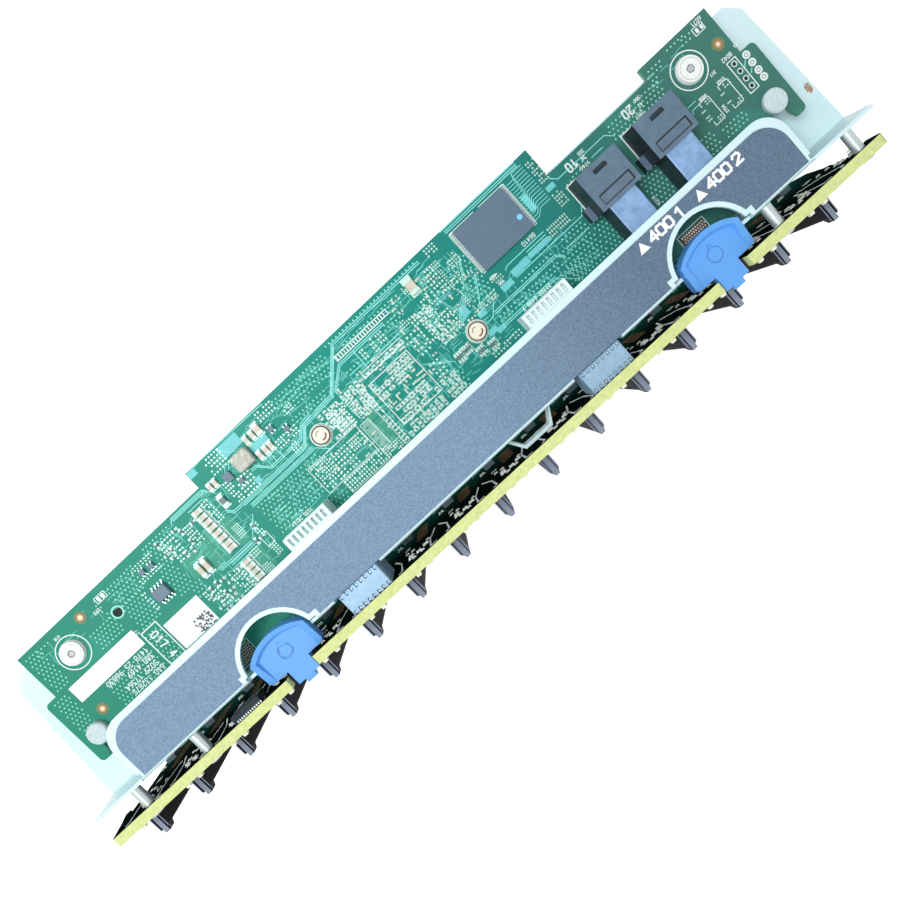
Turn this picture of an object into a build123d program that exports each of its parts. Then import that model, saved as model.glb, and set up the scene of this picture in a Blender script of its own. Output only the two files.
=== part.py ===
"""Drive backplane board for a two-unit server, with its expander board.

A tall circuit board carries a row of drive connectors on its front. A folded bracket stands
off its back on four posts and holds a second, flat circuit board, which plugs into the first
through two board links. Two sprung release levers lock the board in its cage.

Frame: X runs along the board, +Y points to the rear and +Z up. The origin is midway between
the two locating holes, on the board's drive side. Everything is in millimetres.
"""
import os
from math import atan, degrees, sqrt

from build123d import *

# Main board
board_length = 287.4
board_height = 80.0
board_thickness = 3.0
board_round = 0.8
board_corner = 2.0
hole_rise = 5.0
locating_radius = 2.1
locating_spacing = 260.0
ear_height = 7.6
ear_reach = 8.2
side_drop = 18.6
side_inset = 5.0
lower_inset = 1.1
hook_reach = 5.2
hook_drop = 17.8

# Row of drives
bay_count = 16
bay_pitch = 18.0
bay_shift = -6.3
window_width = 4.6
window_height = 17.0
window_drop = 22.5
window_shift = -7.7

# Drive connector
connector_drop = 14.0
connector_length = 42.4
flange_width = 11.0
flange_depth = 1.2
flange_chamfer = 0.6
tongue_width = 3.5
tongue_tip = 1.5
tongue_length = 40.4
tongue_reach = 9.4
tongue_shoulder = 7.4
receptacle_reach = 7.9
receptacle_slot = 1.3
receptacle_opening = 33.4
slot_depth = 4.6
guide_ridge = 1.6
guide_groove = 0.6
guide_groove_depth = 1.0

# Small parts on the main board
led_width = 1.7
led_height = 1.6
led_reach = 1.1
led_shifts = (6.2, 10.8)
led_drop = 1.9
driver_width = 3.9
driver_height = 4.9
driver_thickness = 1.5
driver_shift = 4.2
driver_drop = 37.0
sideband_x = -89.3
sideband_width = 10.6
sideband_height = 5.6
sideband_depth = 2.4
sideband_drop = 0.8
power_header_x = 62.0
power_header_rise = 6.0
power_header_width = 23.0
power_header_height = 10.0
power_header_depth = 12.0
power_pitch = 4.2
power_cavity = 3.4
power_cavity_depth = 8.0
capacitor_radius = 4.0
capacitor_length = 10.0
capacitor_pitch = 11.0
capacitor_x = 92.0
capacitor_rise = 11.0

# Folded bracket
sheet = 1.0
bend = 1.3
bracket_shift = 1.4
web_gap = 6.3
shelf_drop = 1.0
shelf_length = 251.4
shelf_shift = -0.8
shelf_relief = 0.9
shelf_depth = 18.8
shelf_corner = 7.5
tray_drop = 19.5
tray_length = 299.0
tray_depth = 47.6
tray_round = 8.0
tray_chamfer = 4.0
tray_taper = 3.0
wing_length = 289.6
wing_band = 3.0
pad_shift = 22.4
pad_length = 17.4
pad_flat = 10.1
pad_drop = 10.0
pad_height = 5.0
pad_clearance = 0.35
label_thickness = 0.15
label_inset = 2.0
label_end_inset = 0.8
label_margin = 1.4

# Posts between the board and the bracket
post_radius = 1.65
post_drop = 3.0
post_bore = 1.0
post_offsets = (-131.3, -107.5, 108.0, 136.3)
board_screw_radius = 0.95
board_screw_hole = 1.2
board_screw_length = 7.6
board_screw_head = 2.2
board_screw_head_height = 0.6
board_screw_bevel = 0.25

# Release levers
lever_offsets = (-69.6, 91.1)
lever_width = 20.3
lever_drop = 2.2
lever_floor = 3.0
lever_gap = 1.0
lever_side = 8.3
lever_crown = 3.7
lever_rim = 1.3
lever_slope = 1.0
lever_round = 1.2
neck_width = 7.9
neck_reach = 0.8
tip_width = 3.3
tip_reach = 1.4
notch_clearance = 1.15
waist_width = 14.0
waist_height = 1.4
foot_width = 17.0
foot_height = 1.4
foot_front = 1.5
foot_length = 8.0
heel_width = 6.8
slide_clearance = 0.3
cutout_radius = 12.2
cutout_sides = (-0.6, 0.0)
cutout_shift = 0.5
step_half_width = 13.6
step_depth = 1.6
seat_width = 12.0
lug_width = 4.0
lug_height = 4.2
pocket_width = 4.8
pocket_front = 2.4
pocket_roof = 1.5
lever_wall = 1.0
spring_radius = 1.1
spring_wire = 0.2
spring_turns = 4
mark_radius = 2.3
mark_width = 0.35
mark_depth = 0.25

# Expander board
expander_thickness = 1.6
expander_drop = 12.6
expander_front = 9.0
expander_rear = 62.0
expander_half = 134.6
expander_left_rear = 56.5
expander_left_step = 59.6
expander_right_step = 73.3
expander_right_dip = 52.8
expander_dip_end = 110.5
skirt_half = 139.1
skirt_rear = 41.0
skirt_front = 17.1
skirt_chamfer = 2.2
skirt_round = 1.5
stud_offset = 132.7
stud_y = 24.6
stud_head = 3.45
stud_head_height = 1.7
stud_waist = 2.0
stud_shoulder = 3.0
slot_clearance = 0.3
seat_clearance = 0.3
torx_offset = 120.9
torx_y = 46.9
torx_head = 4.0
torx_head_height = 1.3
torx_shank = 1.5
torx_length = 5.0
torx_socket = 1.25
torx_socket_depth = 1.0
torx_hole = 1.8
expander_hole_x = -102.8
expander_hole_y = 46.5
expander_hole_radius = 1.5
pad_hole_radius = 0.6
pad_holes = ((-111.7, 52.8), (-127.1, 28.9), (131.3, 46.4))
header_pitch = 2.54
header_x = 131.3
header_y = 35.9
header_hole = 0.55

# Expander chip and heat sink
chip_x = 4.5
chip_y = 39.0
chip_size = 27.0
chip_thickness = 2.2
sink_length = 42.0
sink_depth = 34.0
sink_base = 2.0
sink_fins = 10
sink_fin = 1.2
sink_fin_height = 10.0
sink_ear = 4.0
sink_pins = ((-21.7, 43.4), (31.1, 34.5))
pin_radius = 1.4
pin_head = 3.0
pin_head_height = 1.2
pin_barb = 1.9
pin_barb_height = 1.2
sink_window_length = 66.0
sink_window_depth = 40.0
sink_window_y = 39.0

# Parts on the expander board
flash_x = 52.1
flash_y = 52.0
flash_length = 18.4
flash_depth = 14.0
flash_thickness = 1.0
flash_standoff = 0.1
inductor_x = -42.8
inductor_y = 53.5
inductor_width = 5.9
inductor_depth = 5.2
inductor_height = 2.6
controller_x = -89.0
controller_y = 41.9
controller_width = 4.9
controller_length = 3.9
controller_height = 1.5

# Cable ports
port_offsets = (82.0, 102.2)
hood_width = 13.7
hood_height = 9.6
hood_rear = 46.1
hood_depth = 11.7
mouth_width = 11.0
mouth_height = 5.4
mouth_rise = 2.2
mouth_depth = 8.5
tongue_rise = 0.3
tongue_thickness = 0.6
latch_width = 4.4
latch_length = 1.1
latch_back = 1.8
frame_width = 10.6
frame_length = 3.0
frame_line = 0.35
frame_front = 1.0
hood_foot_width = 1.8
hood_foot_length = 4.2
hood_foot_height = 3.0
shell_width = 9.4
shell_height = 8.6
shell_length = 18.0
shell_wall = 0.8

# Board links
link_offsets = (-42.3, 47.9)
link_width = 14.2
link_length = 7.0
link_drop = 0.9
link_depth = 12.9
link_window = 17.4
link_slots = 8
link_slot_width = 0.9
link_slot_length = 1.3
link_slot_depth = 0.8
link_rear_width = 15.6
link_rear_end = 29.1
link_rear_height = 9.4
comb_slot_width = 1.0
comb_slot_length = 2.6

# Places that follow from the sizes above
top_edge = board_height - hole_rise
bottom_edge = -hole_rise
back = board_thickness
web_front = back + web_gap
web_rear = web_front + sheet
shelf_top = top_edge - shelf_drop
shelf_rear = web_front + shelf_depth
tray_top = top_edge - tray_drop
tray_rear = web_front + tray_depth
deck_top = top_edge - expander_drop
deck_bottom = deck_top - expander_thickness
plate_top = top_edge - lever_drop
plate_bottom = plate_top - lever_floor
waist_bottom = plate_bottom - waist_height
foot_bottom = waist_bottom - foot_height
seat_top = foot_bottom - slide_clearance
lever_front = back + lever_gap
lever_side_end = lever_front + lever_side
lever_rear = lever_side_end + lever_crown
foot_start = lever_front + foot_front
foot_end = foot_start + foot_length
heel_end = lever_rear - 0.6
pocket_start = lever_front + pocket_front
pocket_end = heel_end - lever_wall
lug_rear = pocket_end - slide_clearance
lug_front = lug_rear - sheet
notch_half = neck_width / 2 + notch_clearance
notch_bottom = plate_bottom - notch_clearance
connector_centre = top_edge - connector_drop - connector_length / 2

os.makedirs("parts", exist_ok=True)


def bay_x(index):
    """Place along the board of one drive connector, counted from the left."""
    return bay_shift + bay_pitch * (index - (bay_count - 1) / 2)


def deck_y(distance):
    """Turn a distance behind the main board into a place in the frame."""
    return back + distance


def block(x0, x1, y0, y1, z0, z1, mode=Mode.ADD):
    """A box between two corners, added to or cut from the piece being made."""
    with Locations(((x0 + x1) / 2, (y0 + y1) / 2, (z0 + z1) / 2)):
        Box(x1 - x0, y1 - y0, z1 - z0, mode=mode)


# Main board: outline with a hook at the left, a notched ear at the right, lever notches,
# air windows between the drives, and the screw and locating holes
half = board_length / 2
ear_bottom = top_edge - ear_height
outline = [
    (-half, top_edge),
    (-half - hook_reach / 2, top_edge - hook_drop * 0.6),
    (-half - hook_reach, top_edge - hook_drop),
    (-half - hook_reach + 2.2, top_edge - hook_drop),
    (-half - 0.4, top_edge - hook_drop * 0.8),
    (-half + lower_inset, top_edge - side_drop - 6.0),
    (-half + lower_inset, bottom_edge),
    (half - lower_inset, bottom_edge),
    (half - lower_inset, top_edge - side_drop * 2),
    (half - side_inset, top_edge - side_drop - 3.0),
    (half - side_inset, top_edge - side_drop),
    (half - ear_reach, ear_bottom - 2.0),
    (half - ear_reach, ear_bottom),
    (half, ear_bottom),
    (half, top_edge),
]
with BuildPart() as main_board:
    with BuildSketch(Plane.XZ) as board_face:
        with BuildLine():
            Polyline(*outline, close=True)
        make_face()
        fillet(board_face.vertices().group_by(Axis.Y)[-1], board_corner)
        for lever_x in lever_offsets:
            with Locations((lever_x, top_edge)):
                Rectangle(2 * notch_half, 2 * (top_edge - notch_bottom), mode=Mode.SUBTRACT)
        for bay in range(1, bay_count):
            with Locations((bay_x(bay) + window_shift, top_edge - window_drop - window_height / 2)):
                with BuildSketch(mode=Mode.PRIVATE) as window:
                    Rectangle(window_width, window_height)
                    chamfer(window.vertices(), board_round)
                add(window.sketch, mode=Mode.SUBTRACT)
        with Locations((-locating_spacing / 2, 0), (locating_spacing / 2, 0)):
            Circle(locating_radius, mode=Mode.SUBTRACT)
        with Locations(*[(bracket_shift + x, top_edge - post_drop) for x in post_offsets]):
            Circle(board_screw_hole, mode=Mode.SUBTRACT)
    extrude(amount=-board_thickness)
main_board.part.label = "main_board"
export_step(main_board.part, "parts/main_board.step")

# Drive connectors: a flange on the board, a slotted receptacle and a pointed guide at each end
for bay in range(bay_count):
    name = f"drive_connector_{bay + 1:02d}"
    x = bay_x(bay)
    low = connector_centre - tongue_length / 2
    with BuildPart() as drive_connector:
        with BuildSketch(Plane.XZ):
            with Locations((x, connector_centre)):
                flange = Rectangle(flange_width, connector_length)
            chamfer(flange.vertices(), flange_chamfer)
        extrude(amount=flange_depth)
        with BuildSketch(Plane.XY.offset(low)):
            with BuildLine():
                Polyline(
                    (x - tongue_width / 2, -flange_depth),
                    (x - tongue_width / 2, -tongue_shoulder),
                    (x - tongue_tip / 2, -tongue_reach),
                    (x + tongue_tip / 2, -tongue_reach),
                    (x + tongue_width / 2, -tongue_shoulder),
                    (x + tongue_width / 2, -flange_depth),
                    close=True,
                )
            make_face()
        extrude(amount=tongue_length)
        block(x - tongue_width, x + tongue_width, -tongue_reach - 1, -receptacle_reach,
              connector_centre - receptacle_opening / 2, connector_centre + receptacle_opening / 2,
              mode=Mode.SUBTRACT)
        slot_left = x - receptacle_slot / 2
        block(slot_left, slot_left + receptacle_slot, -receptacle_reach - 1,
              slot_depth - receptacle_reach,
              connector_centre - receptacle_opening / 2, connector_centre + receptacle_opening / 2,
              mode=Mode.SUBTRACT)
        for end in (low, low + tongue_length):
            for groove_x in (x - guide_ridge / 2 - guide_groove, x + guide_ridge / 2):
                block(groove_x, groove_x + guide_groove, -tongue_reach - 1, -flange_depth,
                      end - guide_groove_depth, end + guide_groove_depth, mode=Mode.SUBTRACT)
    drive_connector.part.label = name
    export_step(drive_connector.part, f"parts/{name}.step")

# Status lights: two for each drive under the top edge, left out beside a screw head or a lever
screw_places = [bracket_shift + x for x in post_offsets]
led_places = [bay_x(bay) + shift for bay in range(bay_count) for shift in led_shifts]
screw_room = board_screw_head + led_width / 2
lever_room = neck_width / 2 + slide_clearance + led_width / 2
with BuildPart() as status_leds:
    for x in led_places:
        to_screw = min(abs(x - screw_x) for screw_x in screw_places)
        to_lever = min(abs(x - lever_x) for lever_x in lever_offsets)
        if to_screw > screw_room and to_lever > lever_room:
            with BuildSketch(Plane.XZ):
                with Locations((x, top_edge - led_drop)):
                    Rectangle(led_width, led_height)
            extrude(amount=led_reach, taper=12)
status_leds.part.label = "status_leds"
export_step(status_leds.part, "parts/status_leds.step")

# Drive signal chips: one for each drive on the back of the board
with BuildPart() as drive_signal_chips:
    for bay in range(bay_count):
        with BuildSketch(Plane.XZ.offset(-back)):
            with Locations((bay_x(bay) + driver_shift, top_edge - driver_drop)):
                Rectangle(driver_width, driver_height)
        extrude(amount=-driver_thickness)
drive_signal_chips.part.label = "drive_signal_chips"
export_step(drive_signal_chips.part, "parts/drive_signal_chips.step")

# Sideband header: a low header at the top edge on the back, with a shallow trough
with BuildPart() as sideband_header:
    with BuildSketch(Plane.XZ.offset(-back)):
        with Locations((sideband_x, top_edge - sideband_drop - sideband_height / 2)):
            RectangleRounded(sideband_width, sideband_height, 0.5)
    extrude(amount=-sideband_depth)
    with BuildSketch(Plane.XZ.offset(-back - sideband_depth)):
        with Locations((sideband_x, top_edge - sideband_drop - sideband_height / 2)):
            Rectangle(sideband_width - 2.0, 1.4)
    extrude(amount=1.2, mode=Mode.SUBTRACT)
sideband_header.part.label = "sideband_header"
export_step(sideband_header.part, "parts/sideband_header.step")

# Power headers: shrouded sockets low on the back, two rows of five square cavities each
power_low = bottom_edge + power_header_rise
for side, name in ((-1, "power_header_left"), (1, "power_header_right")):
    x = side * power_header_x
    with BuildPart() as power_header:
        with BuildSketch(Plane.XZ.offset(-back)):
            with Locations((x, power_low + power_header_height / 2)):
                RectangleRounded(power_header_width, power_header_height, 0.6)
        extrude(amount=-power_header_depth)
        with BuildSketch(Plane.XZ.offset(-back - power_header_depth)):
            with Locations((x, power_low + power_header_height / 2)):
                with GridLocations(power_pitch, power_pitch, 5, 2):
                    Rectangle(power_cavity, power_cavity)
        extrude(amount=power_cavity_depth, mode=Mode.SUBTRACT)
        with BuildSketch(Plane.XY.offset(power_low + power_header_height)):
            with Locations((x, back + power_header_depth - 2.0)):
                Rectangle(4.0, 2.4)
        extrude(amount=1.2)
    power_header.part.label = name
    export_step(power_header.part, f"parts/{name}.step")

# Bulk capacitors: lying cans beside each power header, their axes across the board
with BuildPart() as bulk_capacitors:
    for side in (-1, 1):
        for step in range(2):
            x = side * (capacitor_x + capacitor_pitch * step)
            with BuildSketch(Plane.XZ.offset(-back)):
                with Locations((x, bottom_edge + capacitor_rise)):
                    Circle(capacitor_radius)
            extrude(amount=-capacitor_length)
    ends = bulk_capacitors.edges().filter_by(GeomType.CIRCLE).group_by(Axis.Y)[-1]
    chamfer(ends, 0.4)
bulk_capacitors.part.label = "bulk_capacitors"
export_step(bulk_capacitors.part, "parts/bulk_capacitors.step")

# Bracket: one folded sheet with a narrow shelf, a web with wings and a deep tray
shelf_low = shelf_top - sheet
tray_low = tray_top - sheet
half_tray = tray_length / 2
half_shelf = shelf_length / 2
shelf_middle = bracket_shift + shelf_shift
half_wing = wing_length / 2
seat_low = seat_top - sheet
with BuildPart() as bracket:
    with BuildSketch(Plane.YZ.offset(bracket_shift)) as section:
        with BuildLine():
            Polyline(
                (shelf_rear, shelf_top), (web_front, shelf_top), (web_front, tray_low),
                (tray_rear, tray_low), (tray_rear, tray_top), (web_rear, tray_top),
                (web_rear, shelf_low), (shelf_rear, shelf_low), close=True,
            )
        make_face()
        outer_bends = section.vertices().group_by(Axis.X)[0]
        fillet(outer_bends, bend)
    extrude(amount=half_tray, both=True)
    for side in (-1, 1):
        shelf_end = shelf_middle + side * half_shelf
        tray_end = bracket_shift + side * half_tray
        far = tray_end + side * 5
        block(min(shelf_end, far), max(shelf_end, far), web_rear, shelf_rear + 1,
              shelf_low - 1, shelf_top + 1, mode=Mode.SUBTRACT)
        block(min(shelf_end, tray_end), max(shelf_end, tray_end), web_front, web_rear,
              shelf_top - wing_band, shelf_top)
        wing_end = bracket_shift + side * half_wing
        with BuildSketch(Plane.XZ.offset(-web_front + 1)):
            with BuildLine():
                Polyline((wing_end, shelf_top + 1), (tray_end, tray_top),
                         (far, tray_top), (far, shelf_top + 1), close=True)
            make_face()
        extrude(amount=-(sheet + 2), mode=Mode.SUBTRACT)
        tray_back_end = tray_end - side * tray_taper
        with BuildSketch(Plane.XY.offset(tray_low - 1)):
            with BuildLine():
                Polyline((tray_end, web_rear + bend), (tray_back_end, tray_rear),
                         (far, tray_rear), close=True)
            make_face()
        extrude(amount=sheet + 2, mode=Mode.SUBTRACT)
    shelf_corners = bracket.edges().filter_by(Axis.Z).filter_by(
        lambda e: e.center().Y > shelf_rear - 0.1 and e.center().Z > shelf_low - 0.1)
    fillet(shelf_corners, shelf_corner)
    tray_corners = bracket.edges().filter_by(Axis.Z).group_by(Axis.Y)[-1].sort_by(Axis.X)
    fillet(tray_corners[0], tray_round)
    chamfer(tray_corners[-1], tray_chamfer)
    for side in (-1, 1):
        shelf_end = shelf_middle + side * half_shelf
        block(min(shelf_end, shelf_end - side * shelf_relief),
              max(shelf_end, shelf_end - side * shelf_relief), web_rear, web_rear + bend,
              shelf_low - 1, shelf_top + 1, mode=Mode.SUBTRACT)

    for lever_x, cutout_side in zip(lever_offsets, cutout_sides):
        with BuildSketch(Plane.XY.offset(shelf_top + 1)):
            with Locations((lever_x + cutout_side, web_front - cutout_shift)):
                Circle(cutout_radius)
            with Locations((lever_x, web_front)):
                Rectangle(2 * step_half_width, 2 * step_depth)
        extrude(amount=-(sheet + bend + 1), mode=Mode.SUBTRACT)
        gap = slide_clearance
        with BuildSketch(Plane.XZ.offset(-web_front + 1)):
            with BuildLine():
                Polyline(
                    (lever_x - lever_width / 2 - gap, shelf_top + 1),
                    (lever_x - lever_width / 2 - gap, plate_bottom - gap),
                    (lever_x - waist_width / 2 - gap, plate_bottom - gap),
                    (lever_x - waist_width / 2 - gap, waist_bottom + gap),
                    (lever_x - foot_width / 2 - gap, waist_bottom + gap),
                    (lever_x - foot_width / 2 - gap, seat_top),
                    (lever_x + foot_width / 2 + gap, seat_top),
                    (lever_x + foot_width / 2 + gap, waist_bottom + gap),
                    (lever_x + waist_width / 2 + gap, waist_bottom + gap),
                    (lever_x + waist_width / 2 + gap, plate_bottom - gap),
                    (lever_x + lever_width / 2 + gap, plate_bottom - gap),
                    (lever_x + lever_width / 2 + gap, shelf_top + 1),
                    close=True,
                )
            make_face()
        extrude(amount=-(sheet + 2), mode=Mode.SUBTRACT)
        block(lever_x - seat_width / 2, lever_x + seat_width / 2, web_front, lug_rear,
              seat_low, seat_top)
        block(lever_x - lug_width / 2, lever_x + lug_width / 2, lug_front, lug_rear,
              seat_low, seat_top + lug_height)

    for link_offset in link_offsets:
        link_x = bracket_shift + link_offset
        block(link_x - link_window / 2, link_x + link_window / 2, web_front - 1, web_rear,
              top_edge - link_drop - link_depth - slide_clearance, shelf_top + 1,
              mode=Mode.SUBTRACT)

    pad_x = bracket_shift + pad_shift
    pad_front = back + pad_clearance
    pad_top = top_edge - pad_drop
    block(pad_x - pad_length / 2, pad_x + pad_length / 2, web_front - 1, web_rear + 1,
          pad_top - pad_height, pad_top, mode=Mode.SUBTRACT)
    with BuildSketch(Plane.XY.offset(pad_top - pad_height)):
        with BuildLine():
            Polyline(
                (pad_x - pad_length / 2, web_front), (pad_x - pad_flat / 2, pad_front),
                (pad_x + pad_flat / 2, pad_front), (pad_x + pad_length / 2, web_front),
                (pad_x + pad_length / 2, web_rear), (pad_x + pad_flat / 2 - 0.5, pad_front + sheet),
                (pad_x - pad_flat / 2 + 0.5, pad_front + sheet),
                (pad_x - pad_length / 2, web_rear), close=True,
            )
        make_face()
    extrude(amount=pad_height)

    with BuildSketch(Plane.XY.offset(tray_low - 1)):
        with Locations((chip_x, deck_y(sink_window_y))):
            RectangleRounded(sink_window_length, sink_window_depth, 3.0)
    extrude(amount=sheet + 2, mode=Mode.SUBTRACT)
bracket.part.label = "bracket"
export_step(bracket.part, "parts/bracket.step")

# Label: a thin printed panel on the shelf, inset from its edges and from the lever cut-outs
with BuildPart() as label_panel:
    with BuildSketch(Plane.XY.offset(shelf_top)):
        label_length = shelf_length - 2 * (label_end_inset + shelf_relief)
        label_rear = shelf_rear - label_inset
        with Locations((shelf_middle, (web_rear + label_rear) / 2)):
            RectangleRounded(label_length, label_rear - web_rear, shelf_corner)
        with Locations((shelf_middle, web_rear + shelf_corner / 2)):
            Rectangle(label_length, shelf_corner)
        for lever_x, cutout_side in zip(lever_offsets, cutout_sides):
            with Locations((lever_x + cutout_side, web_front - cutout_shift)):
                Circle(cutout_radius + label_margin, mode=Mode.SUBTRACT)
            with Locations((lever_x, web_front)):
                Rectangle(2 * (step_half_width + label_margin), 2 * (step_depth + label_margin),
                          mode=Mode.SUBTRACT)
    extrude(amount=label_thickness)
label_panel.part.label = "label_panel"
export_step(label_panel.part, "parts/label_panel.step")

# Board posts: four round posts between the board and the bracket's web
with BuildPart() as board_posts:
    for offset_x in post_offsets:
        with BuildSketch(Plane.XZ.offset(-back)):
            with Locations((bracket_shift + offset_x, top_edge - post_drop)):
                Circle(post_radius)
                Circle(post_bore, mode=Mode.SUBTRACT)
        extrude(amount=-web_gap)
board_posts.part.label = "board_posts"
export_step(board_posts.part, "parts/board_posts.step")

# Board screws: low heads on the drive side, shanks through the board into the posts
with BuildPart() as board_screws:
    for offset_x in post_offsets:
        x = bracket_shift + offset_x
        z = top_edge - post_drop
        with BuildSketch(Plane.XY.offset(z)):
            with BuildLine():
                Polyline(
                    (x, -board_screw_head_height), (x, board_screw_length),
                    (x + board_screw_radius, board_screw_length), (x + board_screw_radius, 0),
                    (x + board_screw_head, 0),
                    (x + board_screw_head, board_screw_bevel - board_screw_head_height),
                    (x + board_screw_head - board_screw_bevel, -board_screw_head_height),
                    close=True,
                )
            make_face()
        revolve(axis=Axis((x, 0, z), (0, 1, 0)))
board_screws.part.label = "board_screws"
export_step(board_screws.part, "parts/board_screws.step")

# Release levers: a dished thumb plate, a neck with a locking tip, and a keyed foot
rim_slope = lever_drop / (lever_rear - lever_front)
for lever_x, side_name in zip(lever_offsets, ("left", "right")):
    with BuildPart() as release_lever:
        with BuildSketch(Plane.XY.offset(plate_bottom)):
            with BuildLine():
                Line((lever_x - lever_width / 2, lever_front), (lever_x - lever_width / 2, lever_side_end))
                ThreePointArc((lever_x - lever_width / 2, lever_side_end), (lever_x, lever_rear),
                              (lever_x + lever_width / 2, lever_side_end))
                Line((lever_x + lever_width / 2, lever_side_end), (lever_x + lever_width / 2, lever_front))
                Line((lever_x + lever_width / 2, lever_front), (lever_x - lever_width / 2, lever_front))
            make_face()
        extrude(amount=lever_floor + lever_drop)
        front_corners = release_lever.edges().filter_by(Axis.Z).group_by(Axis.Y)[0]
        fillet(front_corners, lever_round)
        with BuildSketch(Plane.YZ.offset(lever_x)):
            with BuildLine():
                Polyline(
                    (lever_front - 1, plate_top - rim_slope), (lever_rear + 1, top_edge + rim_slope),
                    (lever_rear + 1, top_edge + 3), (lever_front - 1, top_edge + 3), close=True,
                )
            make_face()
        extrude(amount=lever_width, both=True, mode=Mode.SUBTRACT)
        floor_half = lever_width / 2 - lever_rim - lever_slope
        floor_side = lever_side_end - 0.8
        floor_rear = lever_rear - lever_rim - lever_slope
        with BuildSketch(Plane.XY.offset(plate_top)):
            with BuildLine():
                Line((lever_x - floor_half, lever_front - 4), (lever_x - floor_half, floor_side))
                ThreePointArc((lever_x - floor_half, floor_side), (lever_x, floor_rear),
                              (lever_x + floor_half, floor_side))
                Line((lever_x + floor_half, floor_side), (lever_x + floor_half, lever_front - 4))
                Line((lever_x + floor_half, lever_front - 4), (lever_x - floor_half, lever_front - 4))
            make_face()
        extrude(amount=lever_drop + 0.5, taper=-degrees(atan(lever_slope / lever_drop)),
                mode=Mode.SUBTRACT)
        block(lever_x - neck_width / 2, lever_x + neck_width / 2, -neck_reach, lever_front + 1,
              plate_bottom, plate_top)
        tip_start = -neck_reach
        with BuildSketch(Plane.YZ.offset(lever_x)):
            with BuildLine():
                Polyline(
                    (tip_start, plate_bottom + 0.4), (tip_start - tip_reach, plate_bottom + 1.4),
                    (tip_start - tip_reach, plate_top - 0.2), (tip_start, plate_top), close=True,
                )
            make_face()
        extrude(amount=tip_width / 2, both=True)
        block(lever_x - waist_width / 2, lever_x + waist_width / 2, foot_start, foot_end,
              waist_bottom, plate_bottom)
        block(lever_x - foot_width / 2, lever_x + foot_width / 2, foot_start, foot_end,
              foot_bottom, waist_bottom)
        block(lever_x - heel_width / 2, lever_x + heel_width / 2, foot_end - 1, heel_end,
              foot_bottom, plate_bottom)
        block(lever_x - pocket_width / 2, lever_x + pocket_width / 2, pocket_start, pocket_end,
              foot_bottom - 1, plate_top - pocket_roof, mode=Mode.SUBTRACT)
        mark_y = (lever_front + floor_rear) / 2
        with BuildSketch(Plane.XY.offset(plate_top - mark_depth)):
            with Locations((lever_x, mark_y)):
                Circle(mark_radius)
                Circle(mark_radius - mark_width, mode=Mode.SUBTRACT)
        extrude(amount=mark_depth + 0.1, mode=Mode.SUBTRACT)
    release_lever.part.label = f"release_lever_{side_name}"
    export_step(release_lever.part, f"parts/release_lever_{side_name}.step")

# Lever springs: coils between each lever's pocket and the bracket's upright lug
spring_z = plate_top - pocket_roof - spring_radius - spring_wire - 0.2
spring_span = lug_front - pocket_start - 2 * spring_wire - 0.1
for lever_x, side_name in zip(lever_offsets, ("left", "right")):
    with BuildPart() as lever_spring:
        with BuildLine():
            coil = Helix(pitch=spring_span / spring_turns, height=spring_span, radius=spring_radius,
                         center=(lever_x, pocket_start + spring_wire + 0.05, spring_z),
                         direction=(0, 1, 0))
        with BuildSketch(Plane(origin=coil @ 0, z_dir=coil % 0)):
            Rectangle(1.7 * spring_wire, 1.7 * spring_wire)
        sweep()
    lever_spring.part.label = f"lever_spring_{side_name}"
    export_step(lever_spring.part, f"parts/lever_spring_{side_name}.step")

# Board links: a header on the main board, through the bracket's web, into its receptacle
link_top = top_edge - link_drop
for link_offset, side_name in zip(link_offsets, ("left", "right")):
    link_x = bracket_shift + link_offset
    with BuildPart() as link_header:
        with BuildSketch(Plane.XZ.offset(-back)):
            with Locations((link_x, link_top - link_depth / 2)):
                RectangleRounded(link_width, link_depth, 0.4)
        extrude(amount=-link_length)
        with BuildSketch(Plane.XY.offset(link_top)):
            for row_y in (back + link_slot_length / 2, back + link_length - link_slot_length / 2):
                with Locations((link_x, row_y)):
                    with GridLocations(link_width / link_slots, 1, link_slots, 1):
                        Rectangle(link_slot_width, link_slot_length)
        extrude(amount=-link_slot_depth, mode=Mode.SUBTRACT)
    link_header.part.label = f"link_header_{side_name}"
    export_step(link_header.part, f"parts/link_header_{side_name}.step")

    with BuildPart() as link_receptacle:
        rear_end = deck_y(link_rear_end)
        front_end = back + link_length
        with BuildSketch(Plane.XY.offset(deck_top)):
            with Locations((link_x, (front_end + rear_end) / 2)):
                Rectangle(link_rear_width, rear_end - front_end)
        extrude(amount=link_rear_height)
        with BuildSketch(Plane.XY.offset(deck_top + link_rear_height)):
            with Locations((link_x, rear_end - comb_slot_length / 2 - 0.8)):
                with GridLocations(link_width / link_slots, 1, link_slots, 1):
                    Rectangle(comb_slot_width, comb_slot_length)
        extrude(amount=-link_slot_depth * 2, mode=Mode.SUBTRACT)
        rear_edges = link_receptacle.edges().filter_by(Axis.X).group_by(Axis.Y)[-1]
        chamfer(rear_edges.group_by(Axis.Z)[-1], 0.6)
    link_receptacle.part.label = f"link_receptacle_{side_name}"
    export_step(link_receptacle.part, f"parts/link_receptacle_{side_name}.step")

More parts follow.
